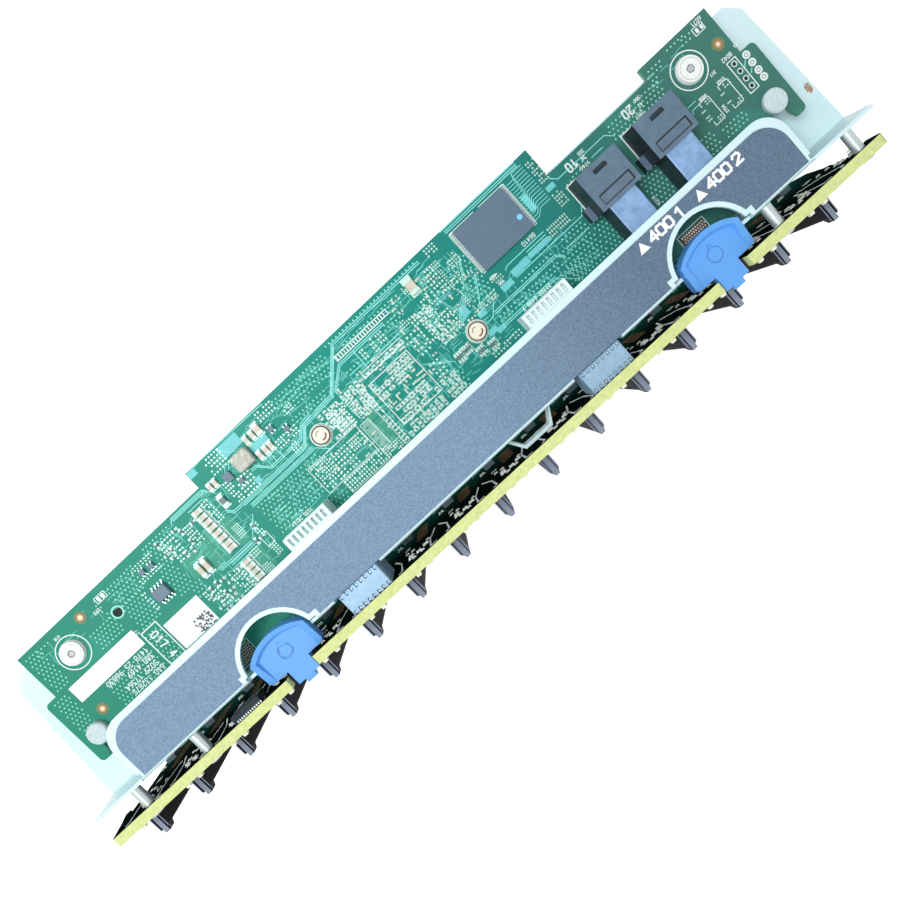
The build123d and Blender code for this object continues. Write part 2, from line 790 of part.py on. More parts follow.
# Expander board: stepped outline, keyhole slots for the studs, screw, pin and header holes
slot_half = stud_waist + slot_clearance
inner_left = -stud_offset + slot_half
outer_left = -stud_offset - slot_half
deck_points = [
    (inner_left, expander_front), (inner_left, stud_y), (outer_left, stud_y),
    (outer_left, skirt_front + skirt_chamfer), (outer_left - skirt_chamfer / 2, skirt_front),
    (-skirt_half, skirt_front), (-skirt_half, skirt_rear), (-expander_half, skirt_rear),
    (-expander_half, expander_left_rear), (-expander_left_step, expander_left_rear),
    (-expander_left_step, expander_rear), (expander_right_step, expander_rear),
    (expander_right_step, expander_right_dip), (expander_dip_end, expander_right_dip),
    (expander_dip_end, expander_left_rear), (expander_half, expander_left_rear),
    (expander_half, skirt_rear), (skirt_half, skirt_rear), (skirt_half, skirt_front),
    (-outer_left + skirt_chamfer / 2, skirt_front), (-outer_left, skirt_front + skirt_chamfer),
    (-outer_left, stud_y), (-inner_left, stud_y), (-inner_left, expander_front),
]
with BuildPart() as expander_board:
    with BuildSketch(Plane.XY.offset(deck_bottom)) as deck_face:
        with BuildLine():
            Polyline(*[(bracket_shift + x, deck_y(y)) for x, y in deck_points], close=True)
        make_face()
        skirt_corners = deck_face.vertices().group_by(Axis.X)
        fillet(skirt_corners[0] + skirt_corners[-1], skirt_round)
        for side in (-1, 1):
            with Locations((bracket_shift + side * stud_offset, deck_y(stud_y))):
                Circle(slot_half, mode=Mode.SUBTRACT)
            with Locations((bracket_shift + side * torx_offset, deck_y(torx_y))):
                Circle(torx_hole, mode=Mode.SUBTRACT)
        with Locations((bracket_shift + expander_hole_x, deck_y(expander_hole_y))):
            Circle(expander_hole_radius, mode=Mode.SUBTRACT)
        with Locations(*[(bracket_shift + x, deck_y(y)) for x, y in pad_holes]):
            Circle(pad_hole_radius, mode=Mode.SUBTRACT)
        with Locations(*[(x, deck_y(y)) for x, y in sink_pins]):
            Circle(pin_radius + slide_clearance, mode=Mode.SUBTRACT)
        with Locations((bracket_shift + header_x, deck_y(header_y))):
            with GridLocations(1, header_pitch, 1, 4):
                Circle(header_hole, mode=Mode.SUBTRACT)
    extrude(amount=expander_thickness)
expander_board.part.label = "expander_board"
export_step(expander_board.part, "parts/expander_board.step")

# Keyhole studs: shouldered studs on the tray whose heads hold the front of the expander board
with BuildPart() as keyhole_studs:
    for side in (-1, 1):
        x = bracket_shift + side * stud_offset
        y = deck_y(stud_y)
        head_low = deck_top + seat_clearance
        with BuildSketch(Plane.XZ.offset(-y)):
            with BuildLine():
                Polyline(
                    (x, tray_top), (x + stud_shoulder, tray_top), (x + stud_shoulder, deck_bottom),
                    (x + stud_waist, deck_bottom), (x + stud_waist, head_low),
                    (x + stud_head, head_low), (x + stud_head, head_low + stud_head_height - 0.4),
                    (x + stud_head - 0.4, head_low + stud_head_height),
                    (x, head_low + stud_head_height), close=True,
                )
            make_face()
        revolve(axis=Axis((x, y, 0), (0, 0, 1)))
keyhole_studs.part.label = "keyhole_studs"
export_step(keyhole_studs.part, "parts/keyhole_studs.step")

# Expander posts: threaded posts on the tray under the two screws
with BuildPart() as expander_posts:
    for side in (-1, 1):
        with BuildSketch(Plane.XY.offset(tray_top)):
            with Locations((bracket_shift + side * torx_offset, deck_y(torx_y))):
                RegularPolygon(stud_shoulder, 6, major_radius=False)
                Circle(torx_shank + 0.05, mode=Mode.SUBTRACT)
        extrude(amount=deck_bottom - tray_top)
expander_posts.part.label = "expander_posts"
export_step(expander_posts.part, "parts/expander_posts.step")

# Expander screws: flat round heads with a six-lobed socket
with BuildPart() as expander_screws:
    for side in (-1, 1):
        x = bracket_shift + side * torx_offset
        y = deck_y(torx_y)
        with BuildSketch(Plane.XZ.offset(-y)):
            with BuildLine():
                Polyline(
                    (x, deck_top - torx_length), (x + torx_shank, deck_top - torx_length),
                    (x + torx_shank, deck_top), (x + torx_head, deck_top),
                    (x + torx_head, deck_top + torx_head_height - 0.9),
                    (x + torx_head - 0.4, deck_top + torx_head_height),
                    (x, deck_top + torx_head_height), close=True,
                )
            make_face()
        revolve(axis=Axis((x, y, 0), (0, 0, 1)))
        with BuildSketch(Plane.XY.offset(deck_top + torx_head_height)):
            with Locations((x, y)):
                RegularPolygon(torx_socket, 6)
                RegularPolygon(torx_socket, 6, rotation=30)
        extrude(amount=-torx_socket_depth, mode=Mode.SUBTRACT)
expander_screws.part.label = "expander_screws"
export_step(expander_screws.part, "parts/expander_screws.step")

# Expander chip: a square package under the board
with BuildPart() as expander_chip:
    with BuildSketch(Plane.XY.offset(deck_bottom)):
        with Locations((chip_x, deck_y(chip_y))):
            RectangleRounded(chip_size, chip_size, 0.5)
    extrude(amount=-chip_thickness)
expander_chip.part.label = "expander_chip"
export_step(expander_chip.part, "parts/expander_chip.step")

# Heat sink: a base with two eared corners and a row of fins that hang through the tray
sink_top = deck_bottom - chip_thickness
with BuildPart() as heat_sink:
    with BuildSketch(Plane.XY.offset(sink_top)):
        with Locations((chip_x, deck_y(chip_y))):
            RectangleRounded(sink_length, sink_depth, 1.0)
        for pin_x, pin_y in sink_pins:
            inner = chip_x + (sink_length / 2 - 1) * (1 if pin_x > chip_x else -1)
            with Locations(((pin_x + inner) / 2, deck_y(pin_y))):
                Rectangle(abs(pin_x - inner), 2 * sink_ear)
            with Locations((pin_x, deck_y(pin_y))):
                Circle(sink_ear)
        with Locations(*[(x, deck_y(y)) for x, y in sink_pins]):
            Circle(pin_radius + slide_clearance, mode=Mode.SUBTRACT)
    extrude(amount=-sink_base)
    with BuildSketch(Plane.XY.offset(sink_top - sink_base)):
        with Locations((chip_x, deck_y(chip_y))):
            with GridLocations((sink_length - sink_fin - 1) / (sink_fins - 1), 1, sink_fins, 1):
                Rectangle(sink_fin, sink_depth - 1)
    extrude(amount=-sink_fin_height)
heat_sink.part.label = "heat_sink"
export_step(heat_sink.part, "parts/heat_sink.step")

# Heat sink pins: round heads above the expander board, barbs under the sink's ears
with BuildPart() as heat_sink_pins:
    barb_top = sink_top - sink_base - seat_clearance
    for pin_x, pin_y in sink_pins:
        y = deck_y(pin_y)
        with BuildSketch(Plane.XZ.offset(-y)):
            with BuildLine():
                Polyline(
                    (pin_x, barb_top - pin_barb_height), (pin_x + 0.8, barb_top - pin_barb_height),
                    (pin_x + pin_barb, barb_top), (pin_x + pin_radius, barb_top),
                    (pin_x + pin_radius, deck_top), (pin_x + pin_head, deck_top),
                    (pin_x + pin_head, deck_top + pin_head_height - 0.4),
                    (pin_x + pin_head - 0.5, deck_top + pin_head_height),
                    (pin_x, deck_top + pin_head_height), close=True,
                )
            make_face()
        revolve(axis=Axis((pin_x, y, 0), (0, 0, 1)))
heat_sink_pins.part.label = "heat_sink_pins"
export_step(heat_sink_pins.part, "parts/heat_sink_pins.step")

# Flash chip: a flat package near the rear edge
with BuildPart() as flash_chip:
    with BuildSketch(Plane.XY.offset(deck_top + flash_standoff)):
        with Locations((flash_x + bracket_shift, deck_y(flash_y))):
            RectangleRounded(flash_length, flash_depth, 0.3)
    extrude(amount=flash_thickness)
flash_chip.part.label = "flash_chip"
export_step(flash_chip.part, "parts/flash_chip.step")

# Power inductor: a pressed square block with eased corners
with BuildPart() as power_inductor:
    with BuildSketch(Plane.XY.offset(deck_top)):
        with Locations((inductor_x, deck_y(inductor_y))):
            RectangleRounded(inductor_width, inductor_depth, 0.8)
    extrude(amount=inductor_height)
    chamfer(power_inductor.faces().sort_by(Axis.Z)[-1].edges(), 0.3)
power_inductor.part.label = "power_inductor"
export_step(power_inductor.part, "parts/power_inductor.step")

# Power controller: a small eight-legged chip
with BuildPart() as power_controller:
    with BuildSketch(Plane.XY.offset(deck_top)):
        with Locations((controller_x + bracket_shift, deck_y(controller_y))):
            Rectangle(controller_width, controller_length)
    extrude(amount=controller_height)
    chamfer(power_controller.faces().sort_by(Axis.Z)[-1].edges(), 0.25)
power_controller.part.label = "power_controller"
export_step(power_controller.part, "parts/power_controller.step")

# Cable ports: a moulded hood with a mouth to the rear, and a metal shell that runs forwards
for port_x, port_name in zip(port_offsets, ("a", "b")):
    x = bracket_shift + port_x
    rear_y = deck_y(hood_rear)
    front_y = rear_y - hood_depth
    hood_top = deck_top + hood_height
    with BuildPart() as port_hood:
        with BuildSketch(Plane.XZ.offset(-front_y)):
            with Locations((x, deck_top + hood_height / 2)):
                Rectangle(hood_width, hood_height)
            with Locations((x, deck_top + hood_foot_height / 2)):
                Rectangle(hood_width + 2 * hood_foot_width, hood_foot_height)
        extrude(amount=-hood_foot_length)
        with BuildSketch(Plane.XZ.offset(-front_y)):
            with Locations((x, deck_top + hood_height / 2)):
                Rectangle(hood_width, hood_height)
        extrude(amount=-hood_depth)
        with BuildSketch(Plane.XZ.offset(-rear_y)):
            with Locations((x, deck_top + mouth_rise + mouth_height / 2)):
                RectangleRounded(mouth_width, mouth_height, 0.5)
        extrude(amount=mouth_depth, mode=Mode.SUBTRACT)
        block(x - mouth_width / 2 + 1.2, x + mouth_width / 2 - 1.2, rear_y - mouth_depth,
              rear_y - 2.0, deck_top + mouth_rise + tongue_rise,
              deck_top + mouth_rise + tongue_rise + tongue_thickness)
        block(x - latch_width / 2, x + latch_width / 2, rear_y - latch_back - latch_length,
              rear_y - latch_back, deck_top + mouth_rise + mouth_height - 1, hood_top + 1,
              mode=Mode.SUBTRACT)
        with BuildSketch(Plane.XY.offset(hood_top)):
            with Locations((x, front_y + frame_front + frame_length / 2)):
                Rectangle(frame_width, frame_length)
                Rectangle(frame_width - 2 * frame_line, frame_length - 2 * frame_line,
                          mode=Mode.SUBTRACT)
        extrude(amount=-frame_line, mode=Mode.SUBTRACT)
    port_hood.part.label = f"port_hood_{port_name}"
    export_step(port_hood.part, f"parts/port_hood_{port_name}.step")

    with BuildPart() as port_shell:
        with BuildSketch(Plane.XZ.offset(-front_y)):
            with Locations((x, deck_top + shell_height / 2)):
                RectangleRounded(shell_width, shell_height, 0.6)
        extrude(amount=shell_length)
        block(x - shell_width / 2 + shell_wall, x + shell_width / 2 - shell_wall,
              front_y - shell_length - 1, front_y - 1.5, deck_top - 1,
              deck_top + shell_height - shell_wall, mode=Mode.SUBTRACT)
    port_shell.part.label = f"port_shell_{port_name}"
    export_step(port_shell.part, f"parts/port_shell_{port_name}.step")
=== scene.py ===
"""Looks for the drive backplane board: finishes for every piece, printing, tracks and small parts.

Places are in millimetres in the frame of the CAD model: X along the board, Y from the drives to
the rear, Z up. They become metres when a mesh is made.
"""

import bpy
import numpy as np
from mathutils import Matrix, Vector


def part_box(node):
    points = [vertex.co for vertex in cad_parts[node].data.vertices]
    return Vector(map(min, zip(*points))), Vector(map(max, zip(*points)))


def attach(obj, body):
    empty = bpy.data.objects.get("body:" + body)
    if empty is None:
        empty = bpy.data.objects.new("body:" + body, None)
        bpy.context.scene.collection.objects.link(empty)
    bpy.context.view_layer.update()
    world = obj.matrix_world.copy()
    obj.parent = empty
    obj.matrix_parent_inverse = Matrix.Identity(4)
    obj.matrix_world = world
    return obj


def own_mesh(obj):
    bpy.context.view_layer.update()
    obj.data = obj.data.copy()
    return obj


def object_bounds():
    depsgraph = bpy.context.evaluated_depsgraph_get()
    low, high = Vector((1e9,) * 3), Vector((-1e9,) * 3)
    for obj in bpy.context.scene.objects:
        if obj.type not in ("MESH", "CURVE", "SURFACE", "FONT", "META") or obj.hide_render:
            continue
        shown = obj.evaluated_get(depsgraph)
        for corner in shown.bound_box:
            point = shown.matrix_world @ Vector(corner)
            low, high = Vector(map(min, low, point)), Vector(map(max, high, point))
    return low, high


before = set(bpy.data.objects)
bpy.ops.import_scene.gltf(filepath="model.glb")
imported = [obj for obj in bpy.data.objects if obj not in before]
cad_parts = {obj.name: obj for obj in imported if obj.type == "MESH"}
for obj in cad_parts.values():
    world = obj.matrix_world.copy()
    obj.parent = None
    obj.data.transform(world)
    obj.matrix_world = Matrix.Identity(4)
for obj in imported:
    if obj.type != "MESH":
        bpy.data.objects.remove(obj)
cad_box = [list(corner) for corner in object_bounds()]
mm = 0.001

# The camera, from the photograph's perspective
camera_place = (13.33371, 36.67229, 265.01129)
camera_right = (0.73149361, -0.68145212, 0.02324031)
camera_up = (0.67970291, 0.72606663, -0.10407311)
camera_ahead = (-0.05404683, -0.09192533, -0.99429808)
camera_lens = bpy.data.cameras.new("photo_camera")
camera_lens.sensor_width = 36.0
camera_lens.lens = 28.166
camera_lens.clip_start = 0.01
camera = bpy.data.objects.new("photo_camera", camera_lens)
camera.matrix_world = Matrix([
    (camera_right[i], camera_up[i], -camera_ahead[i], camera_place[i] * mm) for i in range(3)
] + [(0.0, 0.0, 0.0, 1.0)])
bpy.context.collection.objects.link(camera)
bpy.context.scene.camera = camera

# Levels of the surfaces that carry the details
deck_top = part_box("expander_board")[1][2] / mm
board_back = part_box("main_board")[1][1] / mm
label_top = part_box("label_panel")[1][2] / mm
hood_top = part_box("port_hood_a")[1][2] / mm
header_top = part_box("sideband_header")[1][2] / mm
floor_level = cad_box[0][2]
lever_plate = 72.8

# Places along the main board
drive_count, bay_pitch, bay_shift = 16, 18.0, -6.3
bay_places = bay_shift + bay_pitch * (np.arange(drive_count) - (drive_count - 1) / 2)
board_left, hook_left = -141.2, -145.4
number_places = np.maximum(bay_places, bay_places[0] + 5.0)
lever_places = (-69.6, 91.1)
port_places = (83.4, 103.6)
post_places = (-129.9, -106.1, 109.4, 137.7)

# Heights of thin layers over the face that they lie on
ground_height, pour_height, fine_height, track_height = 0.008, 0.012, 0.016, 0.02
print_height, via_height, bank_height, pad_height = 0.04, 0.057, 0.062, 0.07
outline_height, open_height, film_height, numeral_height = 0.072, 0.09, 0.1, 0.11

# Random source for fine tracks and small parts, which are drawn in a fixed order
scatter = np.random.default_rng(12)


# Shapes. A shape is a pair: points, one row each, and a list of face arrays, whose rows are
# corner numbers in anticlockwise order seen from outside.

def slab(width, depth, height, ease=0.0):
    """Closed block on z = 0: four corners below, four at height less ease, four inset on top."""
    x = np.array([-1, 1, 1, -1]) * width / 2
    y = np.array([-1, -1, 1, 1]) * depth / 2
    inset = 1 - 2 * ease / np.array([width, depth])
    rings = [(x, y, 0.0), (x, y, height - ease)]
    if ease > 0:
        rings.append((x * inset[0], y * inset[1], height))
    points = np.concatenate([np.stack([a, b, np.full(4, z)], 1) for a, b, z in rings])
    return points, ring_faces(4, len(rings))


def ring_faces(sides, rings):
    """Faces between stacked rings of equal sides, with a flat cap below and above."""
    step = np.arange(sides)
    after = (step + 1) % sides
    level = np.arange(rings - 1)[:, None] * sides
    above = level + sides
    walls = np.stack([level + step, level + after, above + after, above + step], -1)
    caps = np.stack([step[::-1], (rings - 1) * sides + step])
    return [walls.reshape(-1, 4), caps]


def turned(profile, sides=16):
    """Closed lathe form: each (radius, height) becomes a ring of radius times cosine and sine."""
    radius, height = np.array(profile, float).T
    angle = np.arange(sides) * 2 * np.pi / sides
    x = radius[:, None] * np.cos(angle)
    y = radius[:, None] * np.sin(angle)
    z = np.repeat(height[:, None], sides, 1)
    return np.stack([x, y, z], -1).reshape(-1, 3), ring_faces(sides, len(radius))


def disc(radius, height, sides=12):
    """Closed flat cylinder on z = 0."""
    return turned([(radius, 0.0), (radius, height)], sides)


def hoop(inner, outer, height, sides=32, start=0.0, sweep=360.0):
    """Closed flat band round the z axis: inner and outer circles below and above, over a sweep."""
    whole = sweep >= 360.0
    count = sides if whole else sides + 1
    angle = np.radians(start + np.arange(count) * sweep / sides)
    circle = np.column_stack([np.cos(angle), np.sin(angle)])
    return band(outer * circle, inner * circle, height, whole)


def band(right, left, height, closed):
    """Flat band on z = 0 between two lines of (x, y), whose corners pair up."""
    levels = [(right, 0.0), (right, height), (left, height), (left, 0.0)]
    points = np.stack([np.column_stack([p, np.full(len(p), z)]) for p, z in levels], 1)
    return points.reshape(-1, 3), band_faces(len(right), closed)


def band_faces(count, closed):
    """Faces of a four-sided tube through count stations, joined end to start or capped."""
    step = np.arange(count if closed else count - 1)[:, None] * 4
    following = (step + 4) % (count * 4)
    side = np.arange(4)
    beside = (side + 1) % 4
    walls = np.stack([step + side, following + side, following + beside, step + beside], -1)
    faces = [walls.reshape(-1, 4)]
    if not closed:
        faces.append(np.array([[0, 1, 2, 3], [(count - 1) * 4 + k for k in (3, 2, 1, 0)]]))
    return faces


def ribbon(line, width, height):
    """Closed flat strip along a line of (x, y), offset at corners along the mean of normals."""
    line = np.array(line, float)
    run = np.diff(line, axis=0)
    run /= np.linalg.norm(run, axis=1)[:, None]
    normal = np.stack([-run[:, 1], run[:, 0]], 1)
    mean = np.concatenate([normal[:1], normal[:-1] + normal[1:], normal[-1:]])
    mean[1:-1] /= (mean[1:-1] ** 2).sum(1)[:, None] / 2
    return band(line - mean * width / 2, line + mean * width / 2, height, False)


unit_box = np.array([(0, 0, 0), (1, 0, 0), (1, 1, 0), (0, 1, 0), (0, 0, 1), (1, 0, 1), (1, 1, 1),
                     (0, 1, 1)], float)


def stepped(count, height):
    """Heights that differ by a hair from one to the next, so that no two crossing tops meet."""
    return height + 0.003 * (np.arange(count) % 11)


def bars(rows, height):
    """Closed flat boxes from rows of (x0, x1, y0, y1), each the unit box stretched to its row."""
    rows = np.array(rows, float).reshape(-1, 4)
    low = np.column_stack([rows[:, 0], rows[:, 2], np.zeros(len(rows))])
    span = np.column_stack([rows[:, 1] - rows[:, 0], rows[:, 3] - rows[:, 2],
                            stepped(len(rows), height)])
    points = low[:, None] + unit_box * span[:, None]
    return repeat_faces(points, ring_faces(4, 2))


def strokes(lines, width, height):
    """Closed flat strips along lines of (x, y): each straight part is the unit box turned along it
    and stretched past both its ends by half the width."""
    lines = [np.array(line, float) for line in lines]
    starts = np.concatenate([line[:-1] for line in lines])
    run = np.concatenate([line[1:] for line in lines]) - starts
    length = np.linalg.norm(run, axis=1)[:, None]
    ahead = run / length
    beside = np.column_stack([-ahead[:, 1], ahead[:, 0]])
    along = unit_box[:, 0] * (length + width) - width / 2
    across = (unit_box[:, 1] - 0.5) * width
    flat = (starts[:, None] + ahead[:, None] * along[..., None]
            + beside[:, None] * across[None, :, None])
    level = unit_box[:, 2] * stepped(len(starts), height)[:, None]
    return repeat_faces(np.concatenate([flat, level[..., None]], -1), ring_faces(4, 2))


def repeat_faces(points, faces):
    """Copies of one shape: points are (copies, corners, 3); each copy's faces step on."""
    copies, corners = points.shape[:2]
    shift = (np.arange(copies) * corners)[:, None, None]
    return points.reshape(-1, 3), [(shift + f).reshape(-1, f.shape[1]) for f in faces]


def stamp(shape, places):
    """One shape at many places: rows of (x, y) or (x, y, turn about its z axis in degrees)."""
    places = np.array(places, float).reshape(-1, len(places[0]))
    turn = np.radians(places[:, 2]) if places.shape[1] > 2 else np.zeros(len(places))
    points = shape[0][None]
    cosine, sine = np.cos(turn)[:, None], np.sin(turn)[:, None]
    moved = np.stack([
        points[..., 0] * cosine - points[..., 1] * sine + places[:, :1],
        points[..., 0] * sine + points[..., 1] * cosine + places[:, 1:2],
        np.repeat(points[..., 2], len(places), 0)], -1)
    return repeat_faces(moved, shape[1])


def raised(shape, lift):
    """The same shape, higher by lift."""
    return shape[0] + np.array([0.0, 0.0, lift]), shape[1]


def joined(*shapes):
    """Several shapes as one list of points and faces."""
    points, faces, count = [], [], 0
    for shape in shapes:
        points.append(shape[0])
        faces += [f + count for f in shape[1]]
        count += len(shape[0])
    return np.concatenate(points), faces


def on_deck(shape):
    """From sheet places to the expander board's top."""
    return raised(shape, deck_top)


def on_board_rear(shape):
    """From sheet places to the main board's rear: y becomes Z, height becomes Y, faces turn."""
    x, y, z = shape[0].T
    return np.column_stack([x, board_back + z, y]), [f[:, ::-1] for f in shape[1]]


def on_board_front(shape):
    """From sheet places to the main board's front: y becomes Z, height becomes -Y."""
    x, y, z = shape[0].T
    return np.column_stack([x, -z, y]), shape[1]


def add_piece(name, shape, material, body="board"):
    """A mesh object from a shape, with its material and the body it rides on."""
    points, faces = shape
    mesh = bpy.data.meshes.new(name)
    corners = np.concatenate([f.reshape(-1) for f in faces]).astype(np.int32)
    sizes = np.concatenate([np.full(len(f), f.shape[1]) for f in faces])
    mesh.vertices.add(len(points))
    mesh.vertices.foreach_set("co", (points * mm).astype(np.float32).reshape(-1))
    mesh.loops.add(len(corners))
    mesh.loops.foreach_set("vertex_index", corners)
    mesh.polygons.add(len(sizes))
    starts = np.concatenate([[0], np.cumsum(sizes)[:-1]]).astype(np.int32)
    mesh.polygons.foreach_set("loop_start", starts)
    mesh.update(calc_edges=True)
    mesh.validate()
    mesh.shade_flat()
    mesh.materials.append(material)
    piece = bpy.data.objects.new(name, mesh)
    bpy.context.collection.objects.link(piece)
    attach(piece, body)
    return piece


def deck_piece(name, shape, material, lift=0.0):
    """A piece on the expander board's top, or as much higher as lift says."""
    return add_piece(name, on_deck(raised(shape, lift)), material)


# Shader nodes, and the groups that the finishes share

def set_inputs(node, *values):
    """A node with the values of its inputs, as pairs (input, value)."""
    for entry, value in values:
        node.inputs[entry].default_value = value
    return node


def add_node(tree, kind, operation=None, *values):
    """A shader node with its operation and the values of its inputs."""
    node = tree.nodes.new("ShaderNode" + kind)
    if operation is not None:
        node.operation = operation
    return set_inputs(node, *values)


def wire(tree, *rows):
    """One link for each row of (node, output, node, input)."""
    for source, output, target, entry in rows:
        tree.links.new(source.outputs[output], target.inputs[entry])


def place_group(tree, group, **values):
    """A group in a material's tree with its own values."""
    node = add_node(tree, "Group")
    node.node_tree = group
    return set_inputs(node, *values.items())


def noise_node(tree, detail, scale=5.0):
    """Noise on Object coordinates at a scale in features per metre."""
    place = add_node(tree, "TexCoord")
    noise = add_node(tree, "TexNoise", None, ("Detail", detail), ("Scale", scale))
    wire(tree, (place, "Object", noise, "Vector"))
    return noise


def ramp_node(tree, start, end, top=1.0, bottom=0.0):
    """A value that goes from bottom at start to top at end."""
    return add_node(tree, "MapRange", None, ("From Min", start), ("From Max", end),
                    ("To Min", bottom), ("To Max", top))


def mix_node(tree, colour=None):
    """A colour mix from A to B, where B may be one set colour."""
    node = add_node(tree, "Mix")
    node.data_type = "RGBA"
    return node if colour is None else set_inputs(node, ("B", tone(*colour)))


def split_place(tree):
    """Object coordinates split into X, Y and Z."""
    place = add_node(tree, "TexCoord")
    split = add_node(tree, "SeparateXYZ")
    wire(tree, (place, "Object", split, "Vector"))
    return split


def tone(red, green, blue):
    """A display colour from 0 to 255 as the linear colour that a shader takes."""
    value = np.array([red, green, blue]) / 255
    value = np.where(value <= 0.04045, value / 12.92, ((value + 0.055) / 1.055) ** 2.4)
    return (*value.tolist(), 1.0)


def new_group(name, inputs, outputs):
    """An empty shader group with named sockets; inputs are (name, kind, value)."""
    group = bpy.data.node_groups.new(name, "ShaderNodeTree")
    for title, kind, value in inputs:
        socket = group.interface.new_socket(name=title, in_out="INPUT", socket_type=kind)
        socket.default_value = value
    for title, kind in outputs:
        group.interface.new_socket(name=title, in_out="OUTPUT", socket_type=kind)
    return group, group.nodes.new("NodeGroupInput"), group.nodes.new("NodeGroupOutput")


def build_mottle():
    """Tone that drifts over a surface: the colour times one plus amount times noise about zero."""
    group, entry, leaving = new_group(
        "mottled_tone",
        [("Colour", "NodeSocketColor", (0.5, 0.5, 0.5, 1)), ("Scale", "NodeSocketFloat", 100.0),
         ("Amount", "NodeSocketFloat", 0.1)],
        [("Colour", "NodeSocketColor")])
    noise = noise_node(group, 3.0)
    centred = add_node(group, "Math", "SUBTRACT", (1, 0.5))
    swing = add_node(group, "Math", "MULTIPLY_ADD", (2, 1.0))
    scaled = add_node(group, "VectorMath", "SCALE")
    wire(group, (entry, "Scale", noise, "Scale"), (noise, "Fac", centred, 0),
         (centred, 0, swing, 0), (entry, "Amount", swing, 1), (entry, "Colour", scaled, 0),
         (swing, 0, scaled, "Scale"), (scaled, "Vector", leaving, "Colour"))
    return group


def build_facing():
    """Mask of faces that look along an axis: size of the normal's part along it, made steep."""
    group, entry, leaving = new_group(
        "facing_mask", [("Axis", "NodeSocketVector", (0.0, 0.0, 1.0))],
        [("Mask", "NodeSocketFloat")])
    place = add_node(group, "TexCoord")
    dot = add_node(group, "VectorMath", "DOT_PRODUCT")
    size = add_node(group, "Math", "ABSOLUTE")
    steep = ramp_node(group, 0.6, 0.8)
    wire(group, (place, "Normal", dot, 0), (entry, "Axis", dot, 1), (dot, "Value", size, 0),
         (size, 0, steep, "Value"), (steep, "Result", leaving, "Mask"))
    return group


def build_relief():
    """Fine uneven height for a Bump node: noise at a scale, with two finer octaves."""
    group, entry, leaving = new_group(
        "fine_relief", [("Scale", "NodeSocketFloat", 800.0)], [("Height", "NodeSocketFloat")])
    noise = noise_node(group, 2.0)
    wire(group, (entry, "Scale", noise, "Scale"), (noise, "Fac", leaving, "Height"))
    return group


mottled_tone = build_mottle()
facing_mask = build_facing()
fine_relief = build_relief()


def finish(name, colour, roughness=0.5, metallic=0.0, scale=120.0, amount=0.15, grain=0.0,
           grain_scale=900.0, coat=0.0, specular=0.5, top_sheen=None):
    """One surface: mottled colour, roughness, a fine relief where grain is set, and, where the top
    sheen's tone is set, a painted sheen: that lighter tone on the faces that look up."""
    material = bpy.data.materials.new(name)
    material.use_nodes = True
    tree = material.node_tree
    shader = set_inputs(tree.nodes["Principled BSDF"], ("Roughness", roughness),
                        ("Metallic", metallic), ("Coat Weight", coat),
                        ("Specular IOR Level", specular))
    mottle = place_group(tree, mottled_tone, Colour=tone(*colour), Scale=scale, Amount=amount)
    wire(tree, (mottle, "Colour", shader, "Base Color"))
    # Painted sheen: faces that look up take the lighter top tone.
    if top_sheen is not None:
        sheen_tone = place_group(tree, mottled_tone, Colour=tone(*top_sheen), Scale=scale, Amount=amount)
        facing = place_group(tree, facing_mask, Axis=(0.0, 0.0, 1.0))
        sheened = mix_node(tree)
        wire(tree, (facing, "Mask", sheened, "Factor"), (mottle, "Colour", sheened, "A"),
             (sheen_tone, "Colour", sheened, "B"), (sheened, "Result", shader, "Base Color"))
    if grain > 0:
        relief = place_group(tree, fine_relief, Scale=grain_scale)
        bump = add_node(tree, "Bump", None, ("Strength", grain), ("Distance", 0.0002))
        wire(tree, (relief, "Height", bump, "Height"), (bump, "Normal", shader, "Normal"))
    return material


